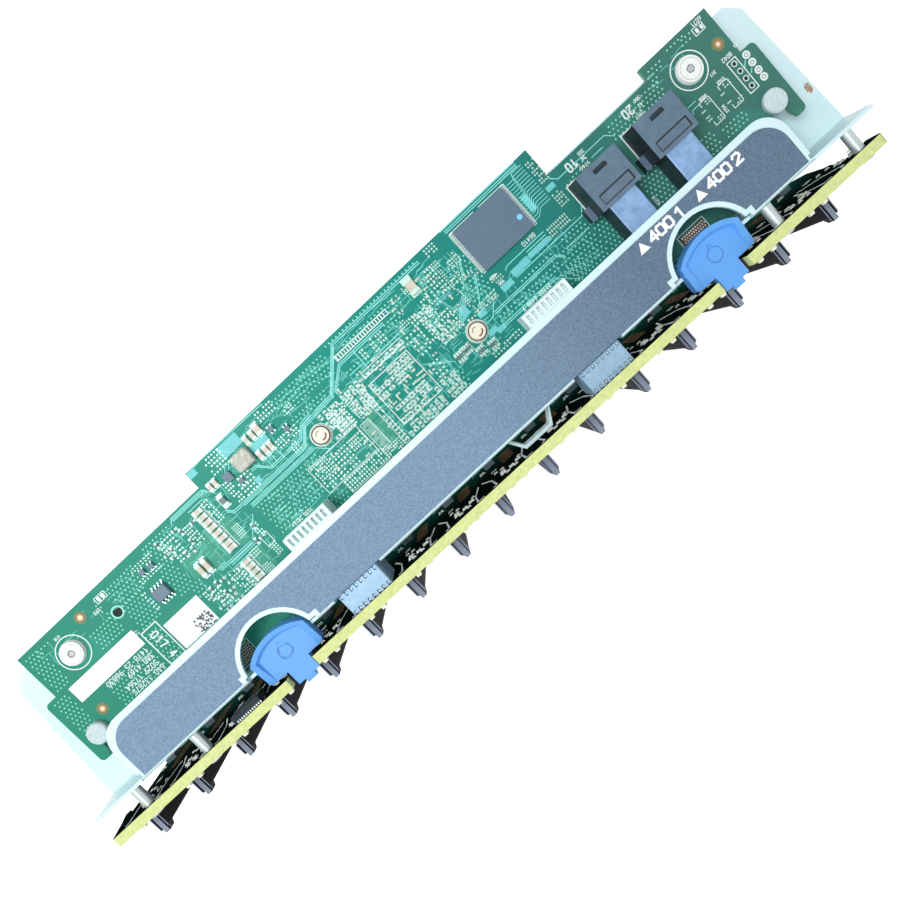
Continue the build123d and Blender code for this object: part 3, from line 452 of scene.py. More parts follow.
def laminate(name, mask_stops, edge_colour, shaded_wall_colour, axis, patch_colour, specular,
             open_colour=None):
    """Circuit board: solder mask on faces along the axis, whose tone drifts along X through the
    stops (place in metres, colour), partly its own hue and partly painted light, with faint
    patches of copper under it, and glass-fibre tone on the cut edges, with painted shade on walls
    below the top of the board. The open colour, where set, is the mask's own tone on the board's
    front and, up to half, low on its rear, away from the bracket; above that on the rear the
    stops' darker tone is partly painted shade."""
    material = finish(name, mask_stops[0][1], 0.55, scale=60.0, specular=specular)
    tree = material.node_tree
    shader = tree.nodes["Principled BSDF"]
    mottle = shader.inputs["Base Color"].links[0].from_node
    split = split_place(tree)
    first, last = mask_stops[0][0], mask_stops[-1][0]
    drift = ramp_node(tree, first, last)
    stops = add_node(tree, "ValToRGB")
    marks = stops.color_ramp.elements
    marks[0].color = tone(*mask_stops[0][1])
    marks[1].color = tone(*mask_stops[-1][1])
    for where, colour in mask_stops[1:-1]:
        marks.new((where - first) / (last - first)).color = tone(*colour)
    rise = ramp_node(tree, 0.0715, 0.0725)
    patch_noise = noise_node(tree, 1.0, 34.0)
    patches = ramp_node(tree, 0.60, 0.64, 0.22)
    facing = place_group(tree, facing_mask, Axis=axis)
    edge = place_group(tree, mottled_tone, Colour=tone(*edge_colour), Scale=900.0, Amount=0.5)
    patched, cut, chosen = mix_node(tree, patch_colour), mix_node(tree), mix_node(tree)
    set_inputs(cut, ("A", tone(*shaded_wall_colour)))
    wire(tree, (split, "X", drift, "Value"), (split, "Z", rise, "Value"),
         (drift, "Result", stops, "Fac"), (stops, "Color", mottle, "Colour"))
    if open_colour is not None:
        front = ramp_node(tree, 0.0016, 0.0008)
        low = ramp_node(tree, 0.05, 0.03, 0.5)
        either = add_node(tree, "Math", "MAXIMUM")
        opened = mix_node(tree, open_colour)
        wire(tree, (split, "Y", front, "Value"), (split, "Z", low, "Value"),
             (front, "Result", either, 0), (low, "Result", either, 1),
             (either, 0, opened, "Factor"), (stops, "Color", opened, "A"),
             (opened, "Result", mottle, "Colour"))
    wire(tree, (patch_noise, "Fac", patches, "Value"), (patches, "Result", patched, "Factor"),
         (mottle, "Colour", patched, "A"), (rise, "Result", cut, "Factor"),
         (edge, "Colour", cut, "B"), (facing, "Mask", chosen, "Factor"),
         (cut, "Result", chosen, "A"), (patched, "Result", chosen, "B"),
         (chosen, "Result", shader, "Base Color"))
    return material


def scale_along(material, start, end, share):
    """Painted light: scale a finish's colour along X, from one at start to share at end, so that a
    share under one paints shade on it and a share over one paints light on it."""
    tree = material.node_tree
    shader = tree.nodes["Principled BSDF"]
    colour = shader.inputs["Base Color"].links[0].from_socket
    split = split_place(tree)
    change = ramp_node(tree, start, end, share, 1.0)
    scaled = add_node(tree, "VectorMath", "SCALE")
    tree.links.new(colour, scaled.inputs[0])
    wire(tree, (split, "X", change, "Value"), (change, "Result", scaled, "Scale"),
         (scaled, "Vector", shader, "Base Color"))


def rust_speck(material, centre, radius):
    """Brown that fades out from a place (X, Y) in metres, longer along Y, broken up by noise."""
    squeeze = 0.6
    tree = material.node_tree
    shader = tree.nodes["Principled BSDF"]
    colour = shader.inputs["Base Color"].links[0].from_socket
    place = add_node(tree, "TexCoord")
    flat = add_node(tree, "VectorMath", "MULTIPLY", (1, (1.0, squeeze, 0.0)))
    away = add_node(tree, "VectorMath", "DISTANCE", (1, (centre[0], centre[1] * squeeze, 0.0)))
    near = ramp_node(tree, radius, radius * 0.3)
    broken = noise_node(tree, 3.0, 1600.0)
    share = add_node(tree, "Math", "MULTIPLY")
    patch = ramp_node(tree, 0.3, 0.45)
    stained = mix_node(tree, (164, 126, 100))
    tree.links.new(colour, stained.inputs["A"])
    wire(tree, (place, "Object", flat, 0), (flat, "Vector", away, 0),
         (away, "Value", near, "Value"), (broken, "Fac", share, 0), (near, "Result", share, 1),
         (share, 0, patch, "Value"), (patch, "Result", stained, "Factor"),
         (stained, "Result", shader, "Base Color"))


def seen_directly(tree):
    """One for rays from the camera or from a glossy surface, else zero."""
    path = add_node(tree, "LightPath")
    either = add_node(tree, "Math", "MAXIMUM")
    wire(tree, (path, "Is Camera Ray", either, 0), (path, "Is Glossy Ray", either, 1))
    return either


# Main board: the rear's near-black stops are partly the mask's dark green and partly painted
# shade, for the shadow between the board and the bracket; the brown walls are painted shade in the
# board's windows.
main_laminate = laminate("main_board_laminate", [(-0.14, (10, 24, 21)), (0.14, (10, 26, 23))],
                         (210, 220, 152), (100, 82, 62), (0, 1, 0), (16, 36, 31), 0.0,
                         (24, 92, 78))
# Expander board: its stops darken towards the right, partly the mask's own hue and partly painted
# light from the key lamp's fall-off.
deck_laminate = laminate("expander_laminate",
                         [(-0.135, (42, 136, 113)), (-0.06, (44, 144, 126)),
                          (0.0, (16, 140, 126)), (0.065, (26, 124, 117)),
                          (0.105, (60, 116, 107)), (0.14, (64, 118, 107))],
                         (150, 205, 190), (110, 165, 145), (0, 0, 1), (70, 170, 150), 0.2)
zinc_sheet = finish("zinc_plated_sheet", (208, 236, 241), 0.42, 0.08, scale=40.0, amount=0.12,
                    grain=0.1, grain_scale=500.0)
rust_speck(zinc_sheet, (0.1484, 0.0234), 0.0019)
label_film = finish("label_film", (118, 144, 171), 0.62, scale=2000.0, amount=1.25, grain=0.35,
                    grain_scale=2000.0, specular=0.3)
# Painted light: the label darkens towards the right, as the key lamp's light falls off.
scale_along(label_film, 0.01, 0.075, 0.62)
post_steel = finish("post_steel", (196, 208, 208), 0.3, 0.6, scale=200.0)
stud_steel = finish("stud_steel", (187, 204, 209), 0.5, 0.1, scale=1900.0, amount=0.7)
screw_steel = finish("screw_steel", (224, 228, 227), 0.4, 0.1, scale=900.0, amount=0.2)
# Painted light: the studs and screws are lighter towards the right, evening out the key lamp's
# fall-off.
for bright_steel in (stud_steel, screw_steel):
    scale_along(bright_steel, -0.14, 0.14, 1.16)
lever_plastic = finish("lever_blue", (92, 161, 234), 0.45, scale=30.0, amount=0.06, coat=0.15)
spring_steel = finish("spring_wire_steel", (170, 176, 180), 0.3, 0.9)
chip_epoxy = finish("chip_epoxy", (99, 124, 141), 0.55, scale=500.0, amount=0.14, grain=0.15,
                    grain_scale=3000.0)
flash_epoxy = finish("flash_epoxy", (86, 109, 131), 0.55, scale=500.0, amount=0.16, grain=0.15,
                     grain_scale=3000.0)
# Painted highlight: the driver chips' up-facing faces are lighter.
dark_epoxy = finish("driver_epoxy", (34, 40, 44), 0.5, scale=500.0, top_sheen=(104, 122, 134))
sink_metal = finish("heat_sink_aluminium", (176, 180, 184), 0.35, 0.8, scale=250.0)
pin_nylon = finish("pin_nylon", (238, 233, 216), 0.45, scale=200.0)
inductor_shell = finish("inductor_powder", (186, 190, 178), 0.55, scale=750.0, amount=1.7)
# Painted highlight: the black hood's top is lighter, for the glare on it.
hood_plastic = finish("port_hood_plastic", (34, 44, 52), 0.45, scale=420.0, amount=0.55,
                      grain=0.1, grain_scale=1500.0, top_sheen=(88, 111, 131))
# Painted reflection: the dark shell's top is pale blue, for the light it reflects.
shell_metal = finish("port_shell_steel", (38, 52, 60), 0.42, 0.1, scale=420.0, amount=0.9,
                     grain=0.5, grain_scale=260.0, top_sheen=(132, 168, 210))
link_plastic = finish("link_header_plastic", (160, 197, 225), 0.5, scale=1100.0, amount=0.5,
                      grain=0.2, grain_scale=1100.0)
# Painted light: the link headers darken towards the right, as the key lamp's light falls off.
scale_along(link_plastic, -0.03, 0.04, 0.78)
socket_plastic = finish("link_socket_plastic", (230, 246, 247), 0.5, scale=300.0)
light_resin = finish("status_light_resin", (248, 244, 222), 0.35, scale=300.0)
# Painted sheen: the header's up-facing faces are a little lighter.
header_plastic = finish("header_plastic", (30, 38, 44), 0.5, scale=300.0, specular=0.2,
                        top_sheen=(30, 44, 54))
# Painted highlight: the connectors' up-facing faces are much lighter than their black sides.
connector_plastic = finish("connector_plastic", (18, 19, 26), 0.6, scale=120.0, amount=0.3,
                           specular=0.1, top_sheen=(140, 148, 165))
can_metal = finish("capacitor_can", (196, 200, 202), 0.3, 0.8, scale=150.0)
white_print = finish("white_print", (238, 250, 248), 0.6, scale=400.0, amount=0.1)
bright_print = finish("label_print", (244, 248, 250), 0.6, scale=400.0, amount=0.05)
track_mask = finish("track_under_mask", (144, 232, 228), 0.5, scale=200.0, amount=0.12)
fine_mask = finish("fine_track_under_mask", (112, 206, 196), 0.5, scale=200.0, amount=0.3)
via_mask = finish("via_under_mask", (150, 228, 208), 0.5, scale=200.0, amount=0.2)
tin = finish("tinned_pad", (226, 238, 236), 0.3, 0.45, scale=700.0, amount=0.2)
front_copper = finish("main_board_copper_under_mask", (56, 140, 120), 0.5, specular=0.1)
soft_tin = finish("dulled_pad", (192, 224, 213), 0.4, 0.15, scale=900.0, amount=0.4)
copper = finish("copper_pad", (206, 140, 84), 0.4, 0.3, scale=500.0)
wall_brown = finish("bare_pad_ground", (112, 78, 66), 0.5, scale=500.0)
bare_laminate = finish("bare_laminate", (112, 124, 88), 0.6, scale=700.0, amount=0.4)
pour_mask = finish("pour_under_mask", (104, 200, 204), 0.5, scale=300.0, amount=0.15)
ground_mask = finish("ground_area_under_mask", (34, 148, 122), 0.55, scale=200.0, amount=0.1)
pin_shade = finish("pin_slot_shade", (134, 94, 68), 0.6)
lobe_shade = finish("screw_recess_shade", (182, 190, 192), 0.5, 0.1)
gold = finish("contact_gold", (214, 178, 96), 0.3, 0.8)
ceramic_tan = finish("capacitor_ceramic", (205, 199, 183), 0.5, scale=600.0, amount=0.2)
ceramic_grey = finish("resistor_body", (96, 120, 124), 0.5, scale=600.0, amount=0.2)
blank_film = finish("blank_label_film", (250, 252, 252), 0.55, scale=100.0, amount=0.04)
code_ink = finish("code_ink", (70, 84, 92), 0.6)
lever_shade = finish("lever_mark_blue", (74, 132, 206), 0.45)
blue_dot = finish("first_pin_paint", (124, 208, 246), 0.5)
hole_dark = finish("hole_shadow", (24, 34, 32), 0.8)

# Finishes of the CAD pieces, by name without its side; those not named are drive connectors
node_finish = {
    "main_board": main_laminate, "expander_board": deck_laminate, "bracket": zinc_sheet,
    "label_panel": label_film, "board_posts": post_steel, "board_screws": post_steel,
    "release_lever": lever_plastic, "lever_spring": spring_steel, "expander_chip": dark_epoxy,
    "heat_sink": sink_metal, "heat_sink_pins": pin_nylon, "flash_chip": flash_epoxy,
    "power_inductor": inductor_shell, "power_controller": chip_epoxy,
    "keyhole_studs": stud_steel, "expander_posts": post_steel, "expander_screws": screw_steel,
    "port_hood": hood_plastic, "port_shell": shell_metal, "link_header": link_plastic,
    "link_receptacle": socket_plastic, "status_leds": light_resin,
    "drive_signal_chips": dark_epoxy, "sideband_header": header_plastic,
    "power_header": header_plastic, "bulk_capacitors": can_metal,
}
for node_name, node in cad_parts.items():
    for side_ending in ("_left", "_right", "_a", "_b"):
        node_name = node_name.removesuffix(side_ending)
    node.data.materials.clear()
    node.data.materials.append(node_finish.get(node_name, connector_plastic))

# Each spring gets a mesh of its own. On the board each lever presses its spring against a fixed
# lug, so the coil shortens by the lever's travel; nothing here moves the coil.
for side_name in ("left", "right"):
    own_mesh(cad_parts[f"lever_spring_{side_name}"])

# Numerals as lines through corners of a cell one wide and two tall
digit_lines = {
    "0": [(0.2, 0), (0.8, 0), (1, 0.35), (1, 1.65), (0.8, 2), (0.2, 2), (0, 1.65), (0, 0.35),
          (0.2, 0)],
    "1": [(0.15, 1.55), (0.6, 2), (0.6, 0)],
    "2": [(0, 1.6), (0.2, 2), (0.8, 2), (1, 1.65), (1, 1.25), (0, 0), (1, 0)],
    "3": [(0, 2), (1, 2), (0.45, 1.2), (0.8, 1.15), (1, 0.8), (1, 0.35), (0.75, 0), (0.2, 0),
          (0, 0.3)],
    "4": [(0.75, 0), (0.75, 2), (0, 0.6), (1, 0.6)],
    "5": [(0.95, 2), (0.1, 2), (0.05, 1.15), (0.75, 1.15), (1, 0.85), (1, 0.3), (0.75, 0),
          (0.2, 0), (0, 0.25)],
    "6": [(0.85, 2), (0.3, 1.6), (0, 0.9), (0, 0.3), (0.25, 0), (0.75, 0), (1, 0.3), (1, 0.75),
          (0.75, 1.05), (0.05, 0.95)],
    "7": [(0, 2), (1, 2), (0.4, 0)],
    "8": [(0.2, 1.05), (0, 0.75), (0, 0.3), (0.2, 0), (0.8, 0), (1, 0.3), (1, 0.75), (0.8, 1.05),
          (0.2, 1.05), (0.05, 1.35), (0.05, 1.7), (0.25, 2), (0.75, 2), (0.95, 1.7), (0.95, 1.35),
          (0.8, 1.05)],
    "9": [(0.15, 0), (0.7, 0.4), (1, 1.1), (1, 1.7), (0.75, 2), (0.25, 2), (0, 1.7), (0, 1.25),
          (0.25, 0.95), (0.95, 1.05)],
}


def numerals(text, x, y, height, turn=0, spacing=0.8):
    """Lines for strokes(): numerals centred on (x, y), turned by degrees; the cells are spacing
    times the height apart and a space stays empty."""
    cell = height / 2
    pitch = height * spacing
    first = -pitch * (len(text) - 1) / 2 - cell / 2
    cosine, sine = np.cos(np.radians(turn)), np.sin(np.radians(turn))
    lines = []
    for place, digit in enumerate(text):
        if digit != " ":
            local = np.array(digit_lines[digit], float) * cell + (first + place * pitch, -cell)
            lines.append(local @ np.array([(cosine, sine), (-sine, cosine)]) + (x, y))
    return lines


def outline_rows(x0, x1, y0, y1, line=0.2):
    """Four rows for bars() that draw a rectangle's outline."""
    low, high = y0 + line, y1 - line
    return [(x0, x1, y0, low), (x0, x1, high, y1), (x0, x0 + line, low, high),
            (x1 - line, x1, low, high)]


# Tracks on the expander board, as lines of (x, y): single ones, pairs and threes
single_tracks = [
    [(-71.5, 57.2), (-70.3, 58.6)], [(-65.5, 56.4), (-60, 56.4), (-59.3, 55.8)],
    [(-71, 38.8), (-68, 38.8)], [(-67, 35.7), (-56.5, 35.7)], [(-57.5, 38), (-52.3, 43.4)],
    [(-46.8, 64), (-44.5, 60.8)], [(-38.2, 49), (-38.2, 52.3)], [(-36.2, 49), (-36.2, 52.3)],
    [(-34, 49), (-34, 52.3)], [(-25.7, 45), (-22.6, 41.9)], [(-4, 53.1), (1.2, 53.1)],
    [(1.4, 51), (1.4, 57.4)], [(2, 52.2), (16, 52.2)], [(34.4, 37.3), (37.1, 37.3)],
    [(37.1, 37.3), (40, 40.3)], [(49.6, 45.2), (63.5, 45.2)], [(48.6, 44.6), (49.6, 45.2)],
    [(56.4, 44.2), (63.4, 44.2)], [(56.4, 43.4), (63.4, 43.4)], [(49.5, 41), (74.5, 41)],
    [(74.5, 41), (76, 43)], [(57.6, 33.1), (63, 28)], [(74.4, 54.8), (76.2, 53), (91, 53)],
    [(93.4, 53), (95.6, 50.9)], [(88, 53), (93.4, 53)], [(87, 50.9), (91, 50.9)],
    [(115.5, 42.6), (118.2, 42.6)], [(115.6, 40.3), (116, 41.2), (118.6, 41.2)],
    [(134.2, 40), (135.6, 41.4)], [(134.8, 37.8), (135.6, 38.6)],
    [(42, 64.75), (70, 64.75)], [(-58, 64.5), (-52, 64.9), (-28, 64.4)],
]
pair_tracks = [
    [(-58.2, 58), (-57, 56.8)], [(-67, 36.7), (-57.8, 36.7)], [(-70.5, 37.6), (-58.2, 37.6)],
    [(-57.2, 48.9), (-55.4, 47.2), (-52, 47.2)], [(-10.4, 52), (-4.2, 57), (13, 57)],
    [(-43.5, 52.4), (-41.6, 52.4), (-38.8, 49.2), (-27, 49.2), (-23.9, 52.2), (-20, 52.7)],
    [(38.4, 37.6), (61.6, 37.6), (63.4, 35.8)], [(37.6, 33.1), (57.6, 33.1)],
    [(43, 63.4), (70, 63.4)], [(-1.8, 62.6), (32, 62.6)],
]
triple_tracks = [
    [(-70.4, 57.6), (-58.2, 57.6)], [(-50.6, 44.8), (-26, 44.8)],
    [(-52, 46.8), (-27.4, 46.8), (-23.4, 51.2), (-11.4, 52)], [(-11.6, 52.2), (-1.8, 62)],
]
fan_tracks = [[(64.4, 49 + 0.95 * k), (65.6 + 0.1 * k, 49 + 0.95 * k), (67.4, 50.6 + 0.95 * k),
               (71, 50.6 + 0.95 * k)] for k in range(14)]
fan_tracks += [[(28 + 0.9 * k, 41.5 + 0.2 * k), (33.4 + 0.9 * k, 47.0 + 0.2 * k)]
               for k in range(4)]
fan_tracks += [[(36.5 + 0.8 * (k % 5), 42.5 + 1.3 * k), (38.6 + 0.8 * (k % 5), 44.6 + 1.3 * k)]
               for k in range(11)]
fan_tracks += [[(13.5 + 1.2 * k, 41.2 - 0.8 * k), (16 + 1.2 * k, 38.6 - 0.8 * k)]
               for k in range(5)]
fan_tracks += [[(5 + 1.1 * k, 28.0), (7.5 + 1.1 * k, 30.6)] for k in range(4)]
fan_tracks += [[(-50 + 1.6 * k, 57), (-48 + 1.6 * k, 59.2)] for k in range(3)]
spread = [np.array(line, float) + (0, step)
          for group, steps in ((pair_tracks, (0.0, 0.6)), (triple_tracks, (0.0, 0.5, 1.0)))
          for line in group for step in steps]
deck_strokes = joined(strokes(single_tracks + spread, 0.24, track_height),
                      strokes(fan_tracks, 0.17, track_height))
deck_piece("deck_tracks", deck_strokes, track_mask)


def routed(area, count, reach):
    """Lines of (x, y) that run, turn by 45 degrees and run on, from random places in an area."""
    x0, x1, y0, y1 = area
    start = np.column_stack([scatter.uniform(x0, x1, count), scatter.uniform(y0, y1, count)])
    first, slant, last = scatter.uniform(0.5, reach, (3, count)) * [[1.2], [0.4], [1.2]]
    side = scatter.choice((-1.0, 1.0), count)
    ahead = np.where(scatter.random(count)[:, None] < 0.6, (1.0, 0.0), (0.0, 1.0))
    beside = ahead[:, ::-1] * side[:, None]
    turned_by = (ahead + beside) * (slant * 0.6)[:, None]
    second = start + ahead * first[:, None]
    third = second + turned_by
    return np.stack([start, second, third, third + ahead * last[:, None]], 1)


fine_areas = [((-79, -52, 28.4, 57.5), 150, 2.4), ((-49, -13, 28.4, 60.5), 230, 2.2),
              ((-12, 20, 28.4, 57.5), 330, 1.8), ((20, 42, 29, 60), 250, 1.7),
              ((-127, -90, 50, 57), 26, 2.0), ((43, 73, 28.6, 44), 70, 3.0),
              ((-52, 40, 58, 63), 90, 4.0), ((104, 130, 51, 56.5), 14, 2.0)]
fine_tracks = [line for area, count, reach in fine_areas for line in routed(area, count, reach)
               if (line > (area[0], area[2])).all() and (line < (area[1], area[3])).all()]
deck_piece("deck_fine_tracks", strokes(fine_tracks, 0.15, fine_height), fine_mask)
light_pours = [(-47, -39.4, 60.3, 64.1), (-39.4, -33.4, 55.8, 57.9), (-58.2, -55.2, 62.6, 64.4),
               (44.2, 48.2, 40.2, 42.1), (49.2, 55.6, 41.4, 43.4), (55.8, 64.2, 42.0, 43.2),
               (-45, -43, 48.6, 50.4), (71.8, 74.6, 52.0, 53.6), (31.0, 33.4, 42.6, 46.0),
               (34.2, 36.8, 39.4, 41.2), (33.0, 36.2, 33.6, 35.4), (35.4, 38.2, 32.6, 34.2),
               (64.8, 66.8, 51.2, 56.4), (-24.4, -21, 41.4, 42.0)]
green_pours = [(-71, -67.2, 38.8, 47.4), (-67, -65.2, 38.8, 49.5), (-61.2, -57.4, 38.8, 48),
               (-78, -71.2, 41, 47.4), (-61, -57, 28, 36), (-73, -70.6, 28.4, 31.8),
               (-8.6, -5.6, 31.4, 38.8), (-9.4, -5.4, 39.4, 42), (-2.2, 0.4, 40.4, 41.8)]
deck_piece("deck_pours", bars(light_pours, pour_height), pour_mask)
deck_piece("deck_ground_areas", bars(green_pours, ground_height), ground_mask)


def dot_grid(x0, x1, y0, y1, pitch_x=1.36, pitch_y=1.27, stagger=0.5):
    """Places of a grid of vias that fills a rectangle; each second row is stepped along."""
    across = np.arange(x0, x1, pitch_x)
    along = np.arange(y0, y1, pitch_y)
    grid_x, grid_y = np.meshgrid(across, along)
    grid_x = grid_x + (np.arange(len(along)) % 2)[:, None] * pitch_x * stagger
    return np.column_stack([grid_x.reshape(-1), grid_y.reshape(-1)])


via_areas = [
    (-131.4, -127.2, 44.8, 57.5), (-127.6, -123, 55.8, 57.6), (-135.2, -130, 29.6, 42.6),
    (-112.4, -103.2, 44.8, 50.4), (-104.6, -91, 50.1, 57.6), (-99.6, -91, 40.8, 50),
    (-119.8, -102.6, 28.2, 36.6), (-101, -96.2, 28.4, 39.4), (-91, -88.4, 50.4, 58),
    (-84.2, -79.8, 40.4, 56), (-83.4, -73, 56.4, 58.2), (-80.6, -76.6, 36.4, 41),
    (-43.4, -26.4, 41.0, 43.8), (-49.6, -44, 33.6, 43.8), (-41, -32.2, 34.4, 40.6),
    (-45, -41.2, 33.6, 39.8), (-34, -27.6, 28.2, 32), (-25.4, -12, 53.8, 56),
    (-25.4, -7.4, 57.6, 59), (-25.4, -5.6, 60.2, 63.6), (-3.4, 31, 63.7, 64.6),
    (0.6, 20.6, 60.6, 61.4), (16.6, 21.4, 58.2, 60), (12.2, 20.2, 55.4, 57), (-4, 1.2, 54.2, 55),
    (38.2, 62, 34.8, 37), (50, 62, 39.2, 40.2), (57.2, 66, 29, 34), (62, 73.4, 28.4, 37.4),
    (66, 73.4, 37.4, 40), (74.8, 79, 28.4, 37.6), (74.8, 79, 37.6, 40), (77, 79.4, 45, 50.6),
    (79.6, 86, 50.6, 52), (95.2, 114, 50, 54.6), (121.2, 127, 58, 59), (125.2, 129, 56, 57.6),
    (113, 117.6, 56, 57.8), (112.4, 114.4, 53.4, 56), (92.4, 98.6, 28.4, 37.4),
    (112.8, 116, 28.4, 33.6), (119, 127, 29, 31.6), (96.8, 100, 44, 49.2), (14, 20, 28, 33.6),
    (36.4, 42.6, 41.6, 56), (22, 27.4, 41.2, 53.6),
]
keep_clear = np.array([
    (-125.5, -113.5, 44.4, 56), (-103.4, -99.6, 47.6, 57.6), (-91.8, -84.6, 39.6, 49.4),
    (-129, -102, 37, 43.6), (-95, -81, 27.5, 38), (-24.8, -18.8, 43.4, 49.6),
    (27.6, 34.2, 34.6, 40.8), (116, 128.6, 43.8, 56), (-112.6, -108.4, 53.8, 58.2),
    (-128.2, -123.6, 29.8, 34.2), (-89.6, -82, 50.6, 55.4),
])


def clear_of(places, areas):
    """The places outside every rectangle (x0, x1, y0, y1)."""
    x, y = places[:, :1], places[:, 1:2]
    inside = (x > areas[:, 0]) & (x < areas[:, 1]) & (y > areas[:, 2]) & (y < areas[:, 3])
    return places[~inside.any(1)]


via_places = clear_of(np.concatenate([dot_grid(*area) for area in via_areas]), keep_clear)
deck_piece("deck_vias", stamp(disc(0.26, via_height, 8), via_places), via_mask)

# Rows of bare pads behind each lever, each in a printed frame
pad_blocks = [(-88.4, -80.4, 12.4, 17.8), (90.6, 98.7, 15.0, 17.4)]
pad_dots = np.concatenate([dot_grid(x0 + 0.5, x1 - 0.2, y0 + 0.4, y1, 0.8, 0.8)
                           for x0, x1, y0, y1 in pad_blocks])
deck_piece("deck_pad_blocks", bars(pad_blocks, 0.3), wall_brown)
deck_piece("deck_pad_dots", stamp(disc(0.25, 0.06, 8), pad_dots), tin, 0.32)

# Banks of tinned pads: (x0, x1, y0, y1, step along x, step along y, pad width, pad depth)
pad_banks = [
    (71.9, 74.4, 46.6, 51, 0.8, 0.95, 0.5, 0.6), (71.9, 74.4, 55, 62, 0.8, 0.95, 0.5, 0.6),
    (64.5, 71.2, 42.2, 44.6, 0.8, 1.1, 0.45, 0.8), (39.2, 42.6, 40.6, 43, 0.7, 0.9, 0.4, 0.6),
    (35.4, 38, 40.8, 42.8, 0.7, 0.8, 0.4, 0.5), (21.7, 24, 33.6, 37.2, 0.7, 0.8, 0.45, 0.5),
    (24.8, 27, 34.4, 37, 0.7, 0.8, 0.45, 0.5), (27.5, 29.8, 30.6, 34.2, 0.7, 0.8, 0.45, 0.5),
    (31.2, 33.4, 30.4, 33, 0.7, 0.8, 0.45, 0.5), (33.4, 35.6, 58, 60.4, 0.7, 0.8, 0.45, 0.5),
    (37.8, 41.6, 55, 57.6, 0.8, 1.0, 0.45, 0.65), (34.2, 35.6, 41.6, 57, 0.7, 0.8, 0.45, 0.5),
    (30.2, 33.4, 51.6, 60.4, 1.0, 1.3, 0.6, 0.8), (24.8, 29.6, 49.2, 54.6, 1.0, 1.2, 0.6, 0.7),
    (19, 21.8, 44, 53, 1.0, 1.25, 0.6, 0.8), (-11.4, -8.6, 31.2, 40.4, 0.45, 0.5, 0.28, 0.34),
    (-12, -5.6, 28.2, 31, 0.75, 0.8, 0.5, 0.5), (-26.4, -12.2, 28.4, 31.8, 0.95, 1.05, 0.55, 0.75),
    (-30.8, -25, 36.4, 41.4, 0.85, 0.9, 0.5, 0.55), (-18, -13.2, 36.4, 40.4, 0.8, 1.0, 0.45, 0.7),
    (-25, -18.6, 33.2, 40, 1.15, 1.25, 0.6, 0.65), (-31, -25.2, 33, 36, 1.1, 1.2, 0.6, 0.7),
    (-16.8, -12, 42, 50, 0.95, 1.0, 0.6, 0.6), (-10.4, -8.4, 42.6, 50, 0.75, 0.8, 0.5, 0.5),
    (-5.2, -4, 28.6, 47.6, 0.9, 1.3, 0.7, 0.7), (-59.6, -57.2, 40.6, 44.4, 0.65, 0.75, 0.4, 0.45),
    (-61.4, -58.6, 27.9, 30.4, 0.65, 0.75, 0.4, 0.45), (-61, -58.4, 33.8, 36, 0.8, 0.9, 0.5, 0.5),
    (-61, -58.6, 48.2, 55.4, 0.9, 1.0, 0.5, 0.6), (-70.2, -67.2, 47.6, 54, 0.8, 1.0, 0.5, 0.6),
    (-70, -67.2, 28.2, 35.8, 0.9, 1.1, 0.55, 0.65),
    (-77.4, -73.4, 47.4, 55.6, 1.05, 1.3, 0.7, 0.6), (-77.4, -73.4, 28, 35.8, 1.05, 1.3, 0.7, 0.6),
    (-79, -78, 50, 55, 0.8, 1.2, 0.6, 0.8), (-79.6, -78.4, 32.6, 36, 0.8, 1.1, 0.5, 0.7),
    (-52.6, -50.6, 48.4, 55, 0.9, 1.1, 0.6, 0.6), (-49.4, -44.4, 48, 54.4, 1.15, 1.3, 0.7, 0.6),
    (-52.2, -46.2, 58.8, 63.8, 1.1, 1.2, 0.6, 0.6), (-31.8, -25.6, 60.8, 63.6, 1.1, 1.2, 0.6, 0.6),
    (-32.8, -25.4, 51.4, 54, 1.0, 1.1, 0.55, 0.6), (-24.8, -22.2, 57.3, 59.4, 0.8, 0.9, 0.5, 0.5),
    (-30.6, -28.8, 47.6, 50.2, 0.9, 0.8, 0.5, 0.5),
    (-55.2, -53.4, 37.4, 41.2, 0.8, 0.85, 0.5, 0.5),
    (-55.2, -53.2, 29.8, 33.4, 0.8, 0.85, 0.5, 0.5),
    (-90.2, -82.4, 50.4, 51.4, 1.1, 0.9, 0.5, 0.5), (-90.2, -82.4, 54.6, 56, 1.1, 0.9, 0.5, 0.5),
    (-92.6, -91.6, 41, 48.8, 0.8, 1.15, 0.5, 0.6), (15, 18.4, 52.2, 54, 0.8, 0.85, 0.5, 0.5),
    (14.4, 18.2, 35, 40, 1.3, 1.4, 0.7, 0.7), (15, 19, 43, 50, 1.4, 1.6, 0.7, 0.7),
    (24.6, 29.4, 41.4, 48.4, 1.1, 1.25, 0.65, 0.7), (43.4, 47.4, 43.6, 46, 0.8, 0.9, 0.45, 0.5),
    (2.4, 3.8, 53.2, 56.6, 0.9, 1.2, 0.5, 0.8), (6.2, 7.4, 52.6, 56.4, 0.9, 1.2, 0.5, 0.8),
    (8.8, 11.2, 53.4, 56.6, 0.9, 1.2, 0.5, 0.8), (23.2, 24, 58, 60.8, 0.8, 0.8, 0.5, 0.5),
    (35, 38.6, 61.8, 64.2, 1.0, 1.0, 0.6, 0.6), (30, 40.4, 28.4, 30.2, 1.1, 1.1, 0.6, 0.6),
    (117.4, 119.4, 35.8, 39.4, 2.6, 0.95, 1.7, 0.42),
    (124.4, 126.4, 35.8, 39.4, 2.6, 0.95, 1.7, 0.42), (120, 121.8, 39.6, 41, 0.9, 0.8, 0.6, 0.5),
    (120, 121.8, 34, 35.2, 0.9, 0.8, 0.6, 0.5), (126.6, 128.4, 39.6, 41, 0.9, 0.8, 0.6, 0.5),
    (126.6, 128.4, 34, 35.2, 0.9, 0.8, 0.6, 0.5),
]
